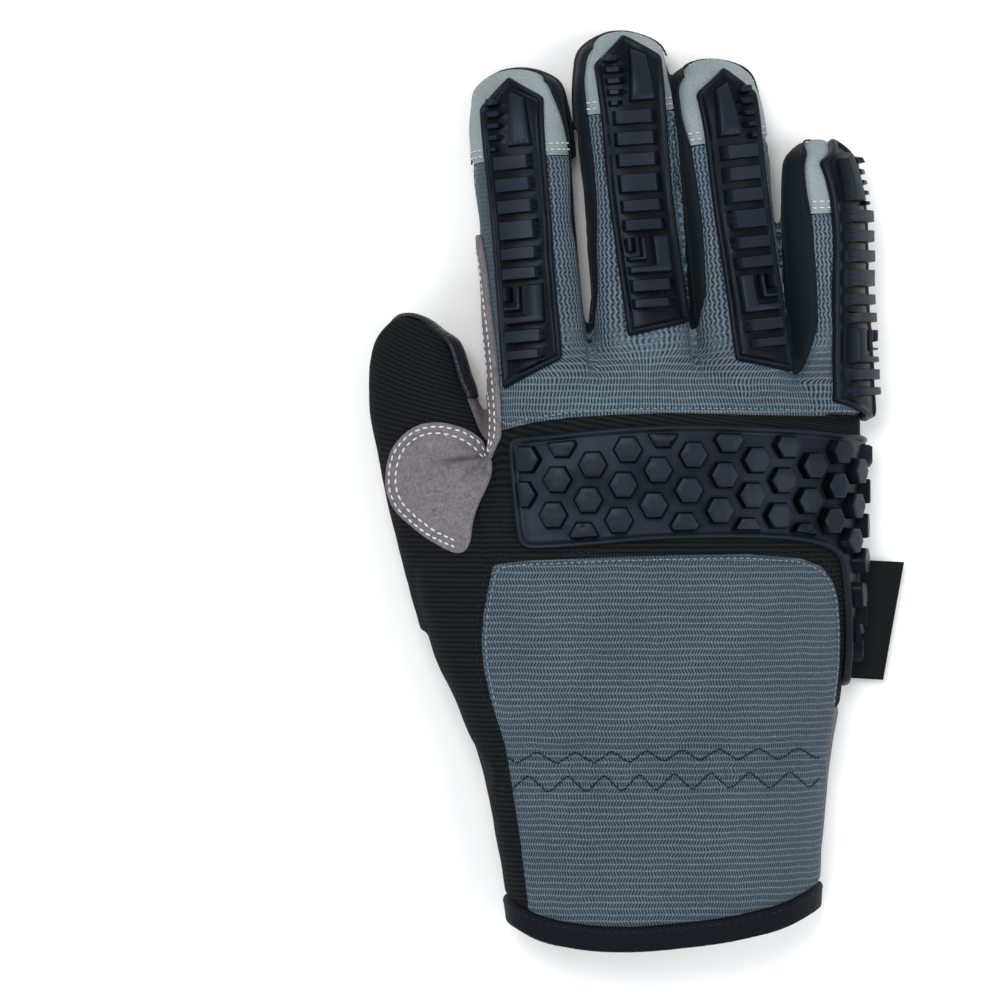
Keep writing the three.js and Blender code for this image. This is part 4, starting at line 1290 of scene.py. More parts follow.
# The raised blocks on a guard of the drawn length: from, to, left, right
guardBlocks = [
    (6.0, 8.1, -6.7, -1.9), (9.3, 11.4, -6.7, -1.7), (12.7, 14.6, -6.7, -1.9), (16.0, 17.8, -6.6, -2.4),
    (19.3, 20.9, -6.5, -3.0), (22.2, 26.4, -5.8, 5.2), (28.4, 32.6, -5.8, 5.2), (34.6, 38.8, -5.8, 5.2),
    (40.7, 46.4, -5.8, 5.2), (48.4, 52.2, -5.8, 5.2), (54.2, 57.8, -5.8, 5.2), (59.6, 63.8, -5.8, -3.2),
    (71.9, 75.7, -5.8, 5.4), (77.5, 80.4, -5.8, 4.6),
]
guardHooks = [
    [(-2.3, 59.6), (-0.8, 59.6), (-0.8, 66.5), (-5.8, 66.5), (-5.8, 65.1), (-2.3, 65.1)],
    [(0.9, 59.2), (5.2, 59.2), (5.2, 70.3), (-5.8, 70.3), (-5.8, 67.9), (0.9, 67.9)],
]
wedge = [(0.3, 4.6), (4.2, 6.6), (5.4, 19.9), (-1.3, 19.9)]
blockTop = 2.95
blockSlopes = (0.34, 0.34, 0.4, 1.7)
lowBlock = {"narrower": 2.3, "share": 0.7}  # the small teeth near the tip are lower


def liftedPiece(name, flat, triangles, upper, lower):
    # A closed piece between two sheets that share a flat drawing
    piece = meshObject(name, np.vstack([upper, lower]), shellFaces(triangles, len(flat)))
    piece.data.set_sharp_from_angle(angle=math.radians(mouldedCrease))
    addUv(piece, np.tile(flat[:, 0], 2), np.tile(flat[:, 1], 2))
    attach(piece, "root")
    return piece


def shapeRings(shapes, profile):
    # Rings of points along every step of the shapes' slopes
    rings = []
    for shape in shapes:
        for distance, _ in profile:
            ring = inset(shape, distance)
            if insideOutline(ring, shape).min() > distance - ringSlack:
                rings.append(denser(ring, outlineStep))
    return rings


def shapeHeights(flat, shapes, profile):
    height = np.zeros(len(flat))
    for shape in shapes:
        low, high = shape.min(axis=0) - 0.01, shape.max(axis=0) + 0.01
        near = ((flat > low) & (flat < high)).all(axis=1)
        if near.any():
            distance = insideOutline(flat[near], shape)
            height[near] = np.maximum(height[near], risen(distance, profile))
    return height


def blockCorners(block, share):
    # A block's outline part of the way up its four slopes
    low, high, left, right = block
    ends = [slope * share for slope in blockSlopes]
    low, high, left, right = low + ends[0], high - ends[1], left + ends[2], right - ends[3]
    return np.array([(left, low), (right, low), (right, high), (left, high)])


def blockHeights(flat, block):
    low, high, left, right = block
    distances = (flat[:, 1] - low, high - flat[:, 1], flat[:, 0] - left, right - flat[:, 0])
    share = np.minimum.reduce([distance / slope for distance, slope in zip(distances, blockSlopes)])
    full = lowBlock["share"] if high - low < lowBlock["narrower"] else 1
    return blockTop * np.clip(share, 0, 1) * full


def guardOutline(guard):
    # Five-sided towards the tip, slightly waisted, with every corner rounded off
    half, length = guardHalf, guard["length"]
    corners = [
        (-0.4, 0.2), (half, 6.6), (half * 0.97, 20), (half * 0.92, length * 0.6),
        (half, length - guard["slant"]), (-half + 1.2, length), (-half * 0.94, length * 0.6),
        (-half * 0.97, 22), (-half, 8.0),
    ]
    outline = []
    cut, bulge = guardCorner["cut"], guardCorner["bulge"]
    for i, corner in enumerate(np.array(corners)):
        before = np.array(corners[i - 1])
        after = np.array(corners[(i + 1) % len(corners)])
        inwards = before + after - 2 * corner
        outline.append(corner + (before - corner) / np.linalg.norm(before - corner) * cut)
        outline.append(corner + inwards / np.linalg.norm(inwards + guardCorner["tiny"]) * bulge)
        outline.append(corner + (after - corner) / np.linalg.norm(after - corner) * cut)
    return denser(np.array(outline), guardGrid["outline"])


def buildFingerGuard(name):
    # Drawn flat, from the tip backwards, then laid over the finger's back
    guard = guards[name]
    length = guard["length"]
    across, along, up = fingerFrames[name]
    fit = np.array([guard["scale"] * guard["mirror"], 1.0])
    outline = guardOutline(guard)
    stretch = length / guardDrawnLength
    bars = [(low * stretch, high * stretch, left, right) for low, high, left, right in guardBlocks]
    shapes = [np.array(shape) * (1, stretch) for shape in (*guardHooks, wedge)]
    rings = [inset(outline, distance) for distance, _ in rimProfile[1:]]
    rings += shapeRings(shapes, blockProfile)
    rings += [denser(blockCorners(bar, share), outlineStep) for bar in bars for share in (0, 0.85, 1)]
    flat, triangles = flatMesh(outline, rings, gridInside(outline, guardGrid["field"], rimWidth))
    inwards = insideOutline(flat, outline)
    rim = risen(inwards, rimProfile)
    blocks = shapeHeights(flat, shapes, blockProfile)
    blocks = np.maximum.reduce([blocks] + [blockHeights(flat, bar) for bar in bars])
    # Painted shade: the colour is darkened in the field and down the blocks' walls, full on their tops, and
    # partly lightened along the rim
    raised = np.clip((blocks - guardShade["from"]) / guardShade["over"], 0, 1)
    lit = guardShade["least"] + (1 - guardShade["least"]) * raised
    lit = lit + guardShade["rim"] * (inwards < guardShade["rimWidth"])
    flat = flat * fit
    flat[:, 0] += guard["shift"] + guard["turn"] * flat[:, 1] / length
    if guard["mirror"] < 0:
        triangles = triangles[:, ::-1]
    tip = np.array([*fingers[name]["tip"], axisHeight])
    starts = tip + np.outer(flat[:, 0], across) - np.outer(flat[:, 1] + guard["start"], along)
    seats = []
    normals = []
    for start in starts:
        seat, normal = skinHit(start + up * rayReach, -up)
        seats.append(seat)
        normals.append(normal)
    seats, normals = np.array(seats), np.array(normals)
    # Blocks stand a little flatter than the finger's back: by how far it drops from its middle line
    backs = np.arange(-1, length + 2, 2.0)
    heights = []
    for back in backs:
        seat, _ = skinHit(tip - along * (back + guard["start"]) + up * rayReach, -up)
        heights.append((seat - tip) @ up)
    drop = np.interp(flat[:, 1], backs, heights) - (seats - tip) @ up
    upper = seats + normals * (gap + rim)[:, None]
    flatter = np.minimum(blocks / blockTop, 1) * sideFlattening["share"]
    flatter = flatter * np.clip(drop, 0, sideFlattening["most"])
    upper = upper + up * (blocks + flatter)[:, None]
    lower = seats + normals * gap
    # Triangles turn the other way round, because the distance back from the tip runs against y
    piece = liftedPiece("finger_guard_" + name, flat, triangles[:, ::-1], upper, lower)
    piece.data.materials.append(materials["rubber"])
    addShade(piece, np.concatenate([lit, lit]))
    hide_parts("guard_" + name)


for name in guards:
    buildFingerGuard(name)
print("finger guards done")

# The hand's back as arc lengths from x = 0, kept by rows of y
backAngles = np.linspace(-0.35 * math.pi, math.pi, 260)[::-1]
overTop = len(backAngles) // 2 + 40


def travelled(line):
    # Distance along a line up to each of its points
    return np.concatenate([[0], np.cumsum(np.linalg.norm(np.diff(line, axis=0), axis=1))])


def backLine(y):
    line = handRing(y, backAngles)
    line[:, 1] = y
    travel = travelled(line)
    travel -= np.interp(0, line[:overTop, 0], travel[:overTop])
    return travel, line


backLines = {y: backLine(y) for y in range(-75, 26)}


def onBack(length, y):
    # A point on the hand's back, its outward normal and the way across, by arc length and y
    low = int(math.floor(y))
    share = y - low
    points = []
    for shift in (-0.4, 0, 0.4):
        both = []
        for row in (low, low + 1):
            travel, line = backLines[row]
            both.append(np.array([np.interp(length + shift, travel, line[:, i]) for i in (0, 2)]))
        points.append(both[0] * (1 - share) + both[1] * share)
    step = points[2] - points[0]
    step /= np.linalg.norm(step)
    point = np.array([points[1][0], y, points[1][1]])
    return point, np.array([-step[1], 0, step[0]]), np.array([step[0], 0, step[1]])


def lengthAt(y, axis, value):
    # Arc length where the back reaches an x on its top, or a height on its side
    travel, line = backLines[int(round(y))]
    top = line[:, 2].argmax() if axis == 2 else 0
    widest = line[:, 0].argmax()
    if axis == 0:
        return float(np.interp(value, line[:widest, 0], travel[:widest]))
    falling = line[top:, 2]
    return float(np.interp(-value, -falling, travel[top:]))


# Knuckle guard from above: x, y; then its leg down the side, by height and y
guardTop = [
    (-35.4, 8), (-35.6, 12.4), (-34.8, 14.3), (-32.8, 14.8), (-24, 15.7), (-12.5, 17), (3.4, 18.2),
    (19.4, 18.4), (35.3, 17.8), (49, 17.1), (57, 16.2),
]
guardSide = [(8.5, 15.4), (6.4, 13.5), (6.4, -54.2), (7.4, -55.8)]
guardInner = [
    (59.6, -55.9), (58.8, -54.6), (59.3, -50), (59.4, -45.5), (59.3, -37.5), (58.5, -28), (57.6, -21.6),
    (56.4, -18.8), (53.2, -16.4), (46.6, -14.6), (35.3, -13.7), (19.4, -13.6), (3.4, -14.1),
    (-12.5, -15.6), (-28.3, -16.7), (-31.6, -16.3), (-33.3, -14.4), (-34.2, -10.5),
]
# The columns stand closer together from the turn towards the little finger on
studs = {"columns": 14, "rows": 10, "wide": 9.18, "wideColumns": 6, "close": 8.4, "rowPitch": 9.85,
         "startX": -29.4, "startY": 18.4, "drift": -0.13, "drop": 5.66, "half": 4.35, "smallest": 16}
handGuard = {"field": 2.3, "outline": 1.5, "grid": 2.2, "reach": 12, "capFrom": 2}
# Painted shade on the knuckle guard's colour: tops and rim full, field partly dark, walls and stud outlines
# dark
handShade = {"rimWidth": 2.2, "top": 2.9, "foot": 0.01, "walls": 0.1, "field": 0.62, "edge": 0.2,
             "edgeWidth": 0.25}


def hexagon(centre, half):
    angles = np.arange(6) * math.pi / 3
    return np.stack([centre[0] + half * np.cos(angles), centre[1] + half * np.sin(angles)], axis=1)


nearestCorners = 0.25


def cutConvex(subject, clipper):
    # The part of a closed outline inside a convex one that turns anticlockwise
    points = [np.array(p) for p in subject]
    for start, end in zip(clipper, np.roll(clipper, -1, axis=0)):
        edge = end - start
        side = [edge[0] * (p[1] - start[1]) - edge[1] * (p[0] - start[0]) for p in points]
        result = []
        for i, point in enumerate(points):
            j = (i + 1) % len(points)
            if side[i] >= 0:
                result.append(point)
            if (side[i] >= 0) != (side[j] >= 0):
                result.append(point + (points[j] - point) * side[i] / (side[i] - side[j]))
        points = result
        if len(points) < 3:
            return None
    apart = [p for p, q in zip(points, points[1:] + points[:1]) if np.linalg.norm(p - q) > nearestCorners]
    return np.array(apart) if len(apart) > 2 else None


def studShapes(outline):
    # The hexagons of the lattice, cut off where they would stand on the rim
    field = inset(outline, handGuard["field"])
    shapes = []
    centres = []
    for column in range(studs["columns"]):
        wide = min(column, studs["wideColumns"])
        across = studs["startX"] + wide * studs["wide"] + (column - wide) * studs["close"]
        for row in range(-1, studs["rows"] - 1):
            y = studs["startY"] - row * studs["rowPitch"] - (column * studs["drop"]) % studs["rowPitch"]
            length = across + (studs["startY"] - y) * studs["drift"]
            shape = cutConvex(field, hexagon((length, y), studs["half"]))
            if shape is None:
                continue
            area = abs(np.cross(shape, np.roll(shape, -1, axis=0)).sum()) / 2
            if area > studs["smallest"]:
                shapes.append(shape)
                centres.append((length, y))
    return shapes, np.array(centres)


# Painted shade: dark down the studs' walls and in a thin line round each stud, partly dark on the field
# between them, full on the studs' tops and the rim
def handGuardShade(flat, outline, shapes, raised):
    onRim = insideOutline(flat, outline) <= handShade["rimWidth"]
    low = np.where(raised > handShade["foot"], handShade["walls"], handShade["field"])
    lit = np.where((raised > handShade["top"]) | onRim, 1.0, low)
    edges = np.max([insideOutline(flat, shape) for shape in shapes], axis=0)
    return np.where(np.abs(edges) < handShade["edgeWidth"], handShade["edge"], lit)


def buildKnuckleGuard():
    # Drawn flat over the hand's back and down its side, each stud with a level top of its own
    outline = [(lengthAt(y, 0, x), y) for x, y in guardTop]
    outline += [(lengthAt(y, 2, z), y) for z, y in guardSide]
    outline += [(lengthAt(y, 0, x), y) for x, y in guardInner]
    outline = denser(rounded(outline), handGuard["outline"])
    shapes, centres = studShapes(outline)
    rings = [inset(outline, distance) for distance, _ in rimProfile[1:]]
    rings += shapeRings(shapes, studProfile)
    flat, triangles = flatMesh(outline, rings, gridInside(outline, handGuard["grid"], rimWidth))
    rim = risen(insideOutline(flat, outline), rimProfile)
    raised = shapeHeights(flat, shapes, studProfile)
    upper = np.zeros((len(flat), 3))
    lower = np.zeros((len(flat), 3))
    for i, (length, y) in enumerate(flat):
        point, normal, _ = onBack(length, y)
        seat, _ = skinHit(point + normal * handGuard["reach"], -normal)
        lower[i] = seat + normal * gap
        upper[i] = seat + normal * (gap + rim[i] + raised[i])
        if raised[i] > handGuard["capFrom"]:
            nearest = centres[np.hypot(*(centres - flat[i]).T).argmin()]
            point, normal, across = onBack(*nearest)
            seat, _ = skinHit(point + normal * handGuard["reach"], -normal)
            offset = flat[i] - nearest
            level = seat + across * offset[0] + np.array([0, offset[1], 0])
            upper[i] = level + normal * (gap + rim[i] + raised[i])
    piece = liftedPiece("hand_guard", flat, triangles, upper, lower)
    lit = handGuardShade(flat, outline, shapes, raised)
    addShade(piece, np.concatenate([lit, lit]))
    piece.data.materials.append(materials["rubber"])
    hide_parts("knuckle_guard")
    print("knuckle guard done,", len(shapes), "studs")


buildKnuckleGuard()


stitchWobble = {"most": (0.12, 0.12, 0.16), "seed": 7}
stitchBead = {"Segments": 8, "Rings": 6, "Radius": 0.5}


def stitchTree():
    # Lays one small rounded stitch after another along lines drawn on the glove
    tree = bpy.data.node_groups.new("stitch_run", "GeometryNodeTree")
    tree.interface.new_socket("Lines", in_out="INPUT", socket_type="NodeSocketGeometry")
    for title in ("Spacing", "Length", "Thickness"):
        tree.interface.new_socket(title, in_out="INPUT", socket_type="NodeSocketFloat")
    tree.interface.new_socket("Thread", in_out="INPUT", socket_type="NodeSocketMaterial")
    tree.interface.new_socket("Stitches", in_out="OUTPUT", socket_type="NodeSocketGeometry")
    add = tree.nodes.new
    given = add("NodeGroupInput").outputs
    toCurve = add("GeometryNodeMeshToCurve")
    tree.links.new(given["Lines"], toCurve.inputs[0])
    resample = add("GeometryNodeResampleCurve")
    resample.mode = "LENGTH"
    tree.links.new(toCurve.outputs[0], resample.inputs["Curve"])
    tree.links.new(given["Spacing"], resample.inputs["Length"])
    tangent = add("GeometryNodeInputTangent")
    align = add("FunctionNodeAlignRotationToVector")
    align.axis = "X"
    tree.links.new(tangent.outputs[0], align.inputs["Vector"])
    wobble = add("FunctionNodeRandomValue")
    wobble.data_type = "FLOAT_VECTOR"
    wobble.inputs[0].default_value = [-angle for angle in stitchWobble["most"]]
    wobble.inputs[1].default_value = stitchWobble["most"]
    wobble.inputs["Seed"].default_value = stitchWobble["seed"]
    turn = add("FunctionNodeEulerToRotation")
    tree.links.new(wobble.outputs[0], turn.inputs[0])
    turned = add("FunctionNodeRotateRotation")
    tree.links.new(align.outputs[0], turned.inputs[0])
    tree.links.new(turn.outputs[0], turned.inputs[1])
    bead = add("GeometryNodeMeshUVSphere")
    for title, value in stitchBead.items():
        bead.inputs[title].default_value = value
    size = add("ShaderNodeCombineXYZ")
    tree.links.new(given["Length"], size.inputs[0])
    tree.links.new(given["Thickness"], size.inputs[1])
    tree.links.new(given["Thickness"], size.inputs[2])
    shape = add("GeometryNodeTransform")
    tree.links.new(bead.outputs[0], shape.inputs["Geometry"])
    tree.links.new(size.outputs[0], shape.inputs["Scale"])
    lay = add("GeometryNodeInstanceOnPoints")
    tree.links.new(resample.outputs[0], lay.inputs["Points"])
    tree.links.new(shape.outputs[0], lay.inputs["Instance"])
    tree.links.new(turned.outputs[0], lay.inputs["Rotation"])
    realize = add("GeometryNodeRealizeInstances")
    tree.links.new(lay.outputs[0], realize.inputs[0])
    colour = add("GeometryNodeSetMaterial")
    tree.links.new(realize.outputs[0], colour.inputs["Geometry"])
    tree.links.new(given["Thread"], colour.inputs["Material"])
    tree.links.new(colour.outputs[0], add("NodeGroupOutput").inputs[0])
    return tree


stitches = stitchTree()


def sewn(name, lines, thread, spacing=2.5, length=1.9, thickness=0.62):
    # lines is a list of runs of points in mm, each already on the cloth
    points = []
    edges = []
    for line in lines:
        start = len(points)
        points += [tuple(point * metre) for point in line]
        edges += [(start + i, start + i + 1) for i in range(len(line) - 1)]
    mesh = bpy.data.meshes.new(name + "_lines")
    mesh.from_pydata(points, edges, [])
    source = bpy.data.objects.new(name + "_lines", mesh)
    bpy.context.scene.collection.objects.link(source)
    modifier = source.modifiers.new("stitches", "NODES")
    modifier.node_group = stitches
    sizes = {"Spacing": spacing * metre, "Length": length * metre, "Thickness": thickness * metre,
             "Thread": materials[thread]}
    for socket in stitches.interface.items_tree:
        if socket.in_out == "INPUT" and socket.name in sizes:
            modifier[socket.identifier] = sizes[socket.name]
    made = evaluatedMesh(source)
    made.name = name
    made.shade_smooth()
    made.materials.clear()
    made.materials.append(materials[thread])
    piece = bpy.data.objects.new(name, made)
    bpy.context.scene.collection.objects.link(piece)
    bpy.data.objects.remove(source)
    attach(piece, "root")
    print("sewn:", name)


def chained(pairs):
    # Single edges joined up into runs of vertex numbers
    neighbours = {}
    for a, b in pairs:
        neighbours.setdefault(a, []).append(b)
        neighbours.setdefault(b, []).append(a)
    runs = []
    left = set(neighbours)
    for begin in sorted(left, key=lambda vertex: (len(neighbours[vertex]) != 1, vertex)):
        if begin not in left:
            continue
        run = [begin]
        left.discard(begin)
        while True:
            following = [vertex for vertex in neighbours[run[-1]] if vertex in left]
            if not following:
                break
            run.append(following[0])
            left.discard(following[0])
        if begin in neighbours[run[-1]] and len(run) > 8:
            run.append(begin)
        runs.append(run)
    return runs


seam = {"shortest": 6, "step": 0.9, "rounds": 3}


def levelLines(value, level, limit, lift):
    # Smoothed runs of points along the skin where the value is at the level and the limit is above 0
    columns, triangles, values = split(np.column_stack([skinColumns, limit]), skinTriangles, value, level)
    first = len(skinColumns)
    pairs = np.sort(edgePairs(triangles), axis=1)
    pairs = np.unique(pairs[(pairs >= first).all(axis=1)], axis=0)
    pairs = pairs[(columns[pairs, 8] > 0).all(axis=1)]
    lines = []
    for run in chained(pairs.tolist()):
        points = columns[run, 0:3] + columns[run, 3:6] * lift
        travel = travelled(points)
        if travel[-1] < seam["shortest"]:
            continue
        even = np.linspace(0, travel[-1], max(3, int(travel[-1] / seam["step"])))
        points = np.stack([np.interp(even, travel, points[:, i]) for i in range(3)], axis=1)
        for _ in range(seam["rounds"]):
            points[1:-1] = (points[:-2] + 2 * points[1:-1] + points[2:]) / 4
        lines.append(points)
    return lines


def drawnLine(xs, ys, lift, above=True):
    # A line drawn from above or from below onto the skin
    side = 1 if above else -1
    points = []
    for x, y in zip(xs, ys):
        hit, normal = skinHit((x, y, 21 + 60 * side), (0, 0, -side))
        points.append(hit + normal * lift)
    return np.array(points)


# Where each seam runs: how far in from its piece's edge, and how high over the skin
capSeam = {"rows": (1.5, 3.3), "fromSide": 1.3, "fromLane": 0.3, "lift": 0.15}
pipingSeam = {"fromCap": 0.6, "fromLane": 0.3, "lift": 0.1}
saddleSeam = {"rows": (1.3, 3.1), "lift": 1.5}
saddleTail = {"slope": -0.32, "y": 17.5, "x": 50.2, "from": 9}
stripSeam = {"rows": (1.0, 2.1), "lift": 1.5}
hemSeam = {"in": 1.3, "lift": 0.15, "knuckleTo": 26, "wristFrom": 60}
trimSeam = {"out": 1.4, "lift": 0.05, "over": 2, "wristFrom": 58}
backWaves = {"from": -37.5, "to": 52, "rows": ((-74.4, 1.5, 0.0), (-81.8, 2.1, 2.2)), "pitch": 10.6,
             "uneven": (0.7, 13.0), "sharp": 0.96, "peak": 1.29, "drift": (0.5, 17.0), "lift": 0.1}
palmWaves = {"from": -24, "to": 50, "rows": (-71.8, -80.4), "pitch": 12.7, "swing": 2.0, "sharp": 0.98,
             "peak": 1.37, "lift": 0.1}
waveStep = 0.4
bindingSeam = {"in": 1.5, "lift": 0.72}


def sewFingers():
    points = skinPoints
    caps = []
    piping = []
    for name in fingers:
        _, back, _ = fingerCoords(points, name)
        side = overNail(points, name)
        lane = laneValue(points, name)
        limit = np.minimum(side - capSeam["fromSide"], lane - capSeam["fromLane"])
        for inward in capSeam["rows"]:
            caps += levelLines(back, capLengths[name] - inward, limit, capSeam["lift"])
        limit = np.minimum(capLengths[name] - pipingSeam["fromCap"] - back, lane - pipingSeam["fromLane"])
        piping += levelLines(side, 0.0, limit, pipingSeam["lift"])
    sewn("cap_stitches", caps, "thread", spacing=2.1, length=1.6, thickness=0.5)
    sewn("cap_piping", piping, "darkThread", spacing=1.0, length=1.5, thickness=0.6)


def sewPatches():
    points = skinPoints
    x, y, z = points.T
    # The saddle's tail, beside the hand, is turned under and shows no stitches
    tail = saddleTail["slope"] * (y + saddleTail["y"]) - saddleTail["x"] - x
    tail = np.maximum(tail, y - saddleTail["from"])
    outer = np.minimum(z - sideFrom, tail)
    rows = []
    for inward in saddleSeam["rows"]:
        rows += levelLines(saddleValue(points), inward, outer, saddleSeam["lift"])
    sewn("saddle_stitches", rows, "thread", spacing=2.3, length=1.7, thickness=0.6)
    rows = []
    for inward in stripSeam["rows"]:
        rows += levelLines(stripValue(points), inward, everywhere, stripSeam["lift"])
    sewn("strip_stitches", rows, "thread", spacing=2.2, length=1.6, thickness=0.55)


def sewPanels():
    points = skinPoints
    _, y, z = points.T
    regions = regionValues(points)
    limit = np.minimum(z - backFrom, hemSeam["knuckleTo"] - y)
    rows = levelLines(regions["knuckle_knit"], hemSeam["in"], limit, hemSeam["lift"])
    limit = np.minimum(z - sideFrom, y + hemSeam["wristFrom"])
    rows += levelLines(regions["wrist_knit"], hemSeam["in"], limit, hemSeam["lift"])
    sewn("hem_stitches", rows, "blueThread", spacing=1.9, length=1.3, thickness=0.42)
    limit = np.minimum(z - sideFrom - trimSeam["over"], y + trimSeam["wristFrom"])
    rows = levelLines(regions["wrist_knit"], -trimSeam["out"], limit, trimSeam["lift"])
    sewn("trim_stitches", rows, "darkThread", spacing=2.3, length=1.7, thickness=0.45)


def sewCuff():
    # Two zigzag rows over the elastic, on the back and under the palm, and one row round the binding
    xs = np.arange(backWaves["from"], backWaves["to"], waveStep)
    uneven, unevenLength = backWaves["uneven"]
    drift, driftLength = backWaves["drift"]
    waves = []
    for middle, swing, shift in backWaves["rows"]:
        phase = 2 * math.pi * (xs + shift) / backWaves["pitch"] + uneven * np.sin(xs / unevenLength)
        zigzag = swing * np.arcsin(backWaves["sharp"] * np.sin(phase)) / backWaves["peak"]
        ys = middle + zigzag + drift * np.sin(xs / driftLength)
        waves.append(drawnLine(xs, ys, backWaves["lift"]))
    sewn("elastic_stitches", waves, "darkThread", spacing=1.5, length=1.55, thickness=0.5)
    xs = np.arange(palmWaves["from"], palmWaves["to"], waveStep)
    waves = []
    for middle in palmWaves["rows"]:
        phase = 2 * math.pi * xs / palmWaves["pitch"]
        ys = middle + palmWaves["swing"] * np.arcsin(palmWaves["sharp"] * np.sin(phase)) / palmWaves["peak"]
        waves.append(drawnLine(xs, ys, palmWaves["lift"], above=False))
    sewn("palm_stitches", waves, "darkThread", spacing=1.6, length=1.6, thickness=0.35)
    level = bindingWidth - bindingSeam["in"]
    rows = levelLines(hemValue(skinPoints), level, everywhere, bindingSeam["lift"])
    sewn("binding_stitches", rows, "darkThread", spacing=2.4, length=1.8, thickness=0.4)


everywhere = np.ones(len(skinPoints))
sewFingers()
sewPatches()
sewPanels()
sewCuff()

palmPadOutline = [
    (-29.4, 21.5), (-27.2, 30.6), (-23.6, 35.4), (-13.6, 40.2), (-12.4, 57.4), (-9.6, 62.2), (-4.8, 63.4),
    (0.4, 61.8), (3, 57.6), (4, 41.6), (11, 39.4), (14.4, 43.8), (15.6, 58.4), (18.2, 62.2), (22.4, 63.2),
    (26.4, 61), (28.2, 56.4), (28.6, 30.2), (31.6, 26.4), (30.6, 20), (26, 17.2), (-22, 16.6), (-27, 18.2),
]
heelPad = {"left": -16.4, "right": 43.6, "low": -64.8, "high": -28.9, "radius": 16}
padProfile = [
    (0, 0.55), (0.35, 0.95), (0.9, 1.25), (1.6, 1.28), (2.1, 1.12), (2.6, 1.28), (4.5, 1.5), (8.0, 1.66),
]
pad = {"top": 1.7, "step": 1.6, "edge": 3.0, "seam": 2.1, "seamUp": 1.2}


def stadium(left, right, low, high, radius):
    # An oblong with round ends
    outline = []
    corners = ((right, low, 1, 1), (right, high, 1, -1), (left, high, -1, -1), (left, low, -1, 1))
    for number, (x, y, sideX, sideY) in enumerate(corners):
        centre = np.array([x - sideX * radius, y + sideY * radius])
        for angle in np.linspace(number - 1, number, 10) * math.pi / 2:
            outline.append(centre + radius * np.array([math.cos(angle), math.sin(angle)]))
    return np.array(outline)


def buildPad(name, node, outline):
    # A stuffed pad under the palm, full in its middle and drawn in along its stitched edge
    outline = denser(outline, pad["step"])
    rings = [inset(outline, distance) for distance, _ in padProfile[1:6]]
    flat, triangles = flatMesh(outline, rings, gridInside(outline, pad["step"], pad["edge"]))
    depth = risen(insideOutline(flat, outline), padProfile)
    lower = np.column_stack([flat, pad["top"] - depth])
    upper = np.column_stack([flat, np.full(len(flat), pad["top"])])
    piece = liftedPiece(name, flat, triangles, upper, lower)
    piece.data.materials.append(materials["leather"])
    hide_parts(node)
    line = inset(outline, pad["seam"])
    closed = np.vstack([line, line[:1]])
    run = np.column_stack([closed, np.full(len(closed), pad["top"] - pad["seamUp"])])
    sewn(name + "_stitches", [run], "darkThread", spacing=2.4, length=1.8, thickness=0.45)


buildPad("palm_cushion", "palm_pad", rounded(palmPadOutline))
buildPad("heel_cushion", "heel_pad", stadium(**heelPad))

tab = {"left": 58.1, "leftLow": 55.4, "right": 77.4, "rightLow": 71.4, "top": -19.6, "bottom": -54.4,
       "flare": 1.0, "thickness": 1.1, "height": 3.65, "step": 1.2, "edge": 1.9,
       "wave": 0.25, "waveLength": 6.0, "waveFrom": 58, "waveOver": 17}
tabProfile = [(0, 0.3), (0.15, 0.42), (0.4, 0.52), (0.9, 0.55), (1.3, 0.47), (1.7, 0.55)]


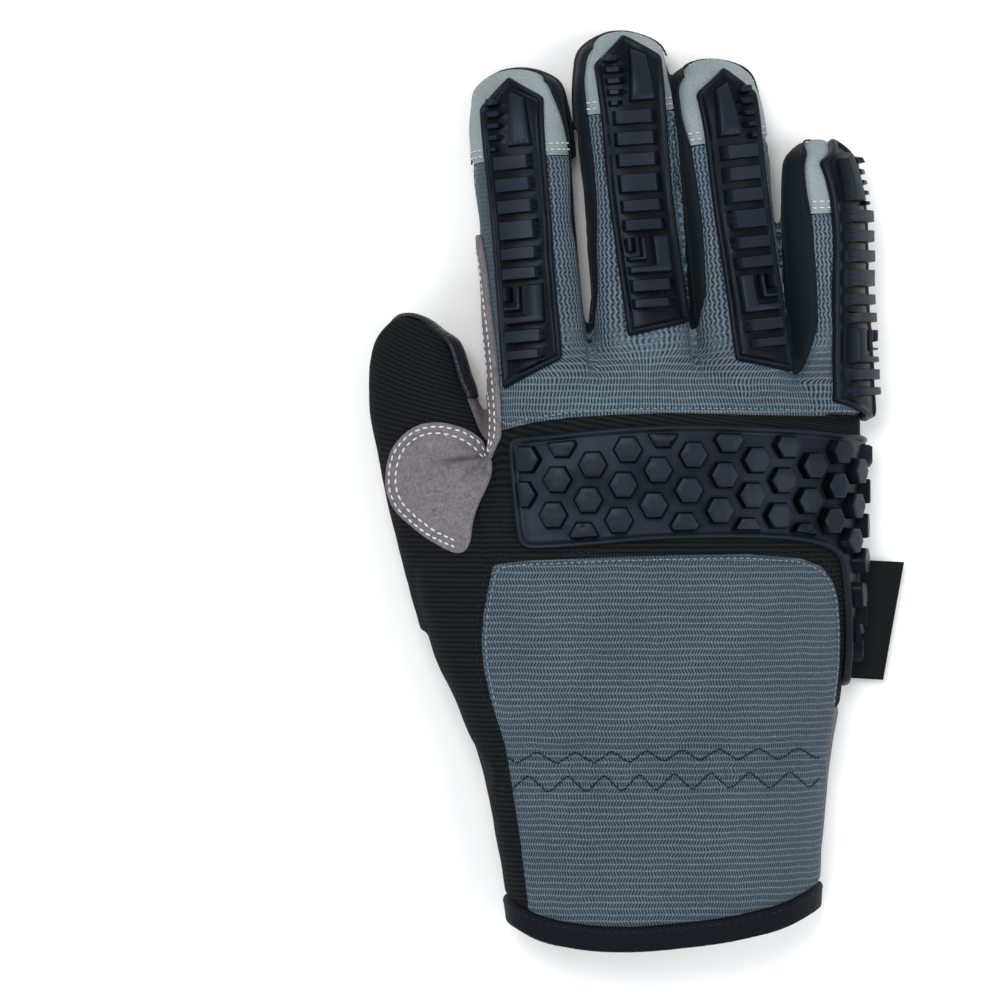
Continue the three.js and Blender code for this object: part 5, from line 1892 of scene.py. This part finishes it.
def buildLabel():
    # A folded woven tab, bare, with a slight wave and soft edges
    outline = np.array([
        (tab["left"], tab["top"]), (tab["right"], tab["top"] - tab["flare"]),
        (tab["rightLow"], tab["bottom"]), (tab["leftLow"], tab["bottom"] + tab["flare"]),
    ])
    outline = denser(outline, tab["step"])[::-1]
    rings = [inset(outline, distance) for distance, _ in tabProfile[1:]]
    flat, triangles = flatMesh(outline, rings, gridInside(outline, tab["step"], tab["edge"]))
    half = risen(insideOutline(flat, outline), tabProfile)
    sway = tab["wave"] * np.cos(flat[:, 1] / tab["waveLength"])
    sway = sway * (flat[:, 0] - tab["waveFrom"]) / tab["waveOver"]
    middle = tab["height"] + tab["thickness"] / 2 - sway
    upper = np.column_stack([flat, middle + half])
    lower = np.column_stack([flat, middle - half])
    piece = liftedPiece("blank_tab", flat, triangles, upper, lower)
    piece.data.materials.append(materials["label"])
    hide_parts("side_label")


buildLabel()
print("pads and label done")

floorHalf = 3.0
# Place, size, power and colour; all of them aim at the middle of the floor
lamps = {
    "key": ((-0.25, 0.4, 1.3), 0.6, 9, (1, 0.99, 0.97)),
    "fill": ((0.7, -0.1, 0.9), 0.7, 5, (0.97, 0.98, 1)),
    "low": ((-0.6, -0.5, 0.5), 0.5, 2, (1, 1, 1)),
}
surroundings = {"colour": (0.95, 0.97, 1, 1), "strength": 0.72}
view = {"place": (-0.0385, -0.0028, 1.319), "lens": 165}


def areaLight(name, place, size, power, colour):
    light = bpy.data.lights.new(name, "AREA")
    light.shape = "DISK"
    light.size = size
    light.energy = power
    light.color = colour
    lamp = bpy.data.objects.new(name, light)
    lamp.location = place
    lamp.rotation_euler = (-Vector(place)).to_track_quat("-Z", "Y").to_euler()
    bpy.context.scene.collection.objects.link(lamp)


def buildStudio():
    floor = bpy.data.meshes.new("floor")
    half = floorHalf
    corners = [(-half, -half, 0), (half, -half, 0), (half, half, 0), (-half, half, 0)]
    floor.from_pydata(corners, [], [(0, 1, 2, 3)])
    stage = bpy.data.objects.new("floor", floor)
    bpy.context.scene.collection.objects.link(stage)
    stage.data.materials.append(materials["floor"])
    for name, lamp in lamps.items():
        areaLight(name, *lamp)
    world = bpy.data.worlds.new("studio")
    world.use_nodes = True
    background = world.node_tree.nodes["Background"]
    background.inputs["Color"].default_value = surroundings["colour"]
    background.inputs["Strength"].default_value = surroundings["strength"]
    bpy.context.scene.world = world
    bpy.context.scene.view_settings.view_transform = "Standard"


buildStudio()

camera = bpy.data.objects.new("camera", bpy.data.cameras.new("camera"))
camera.location = view["place"]
camera.data.lens = view["lens"]
bpy.context.scene.collection.objects.link(camera)
bpy.context.scene.camera = camera
print("studio done")
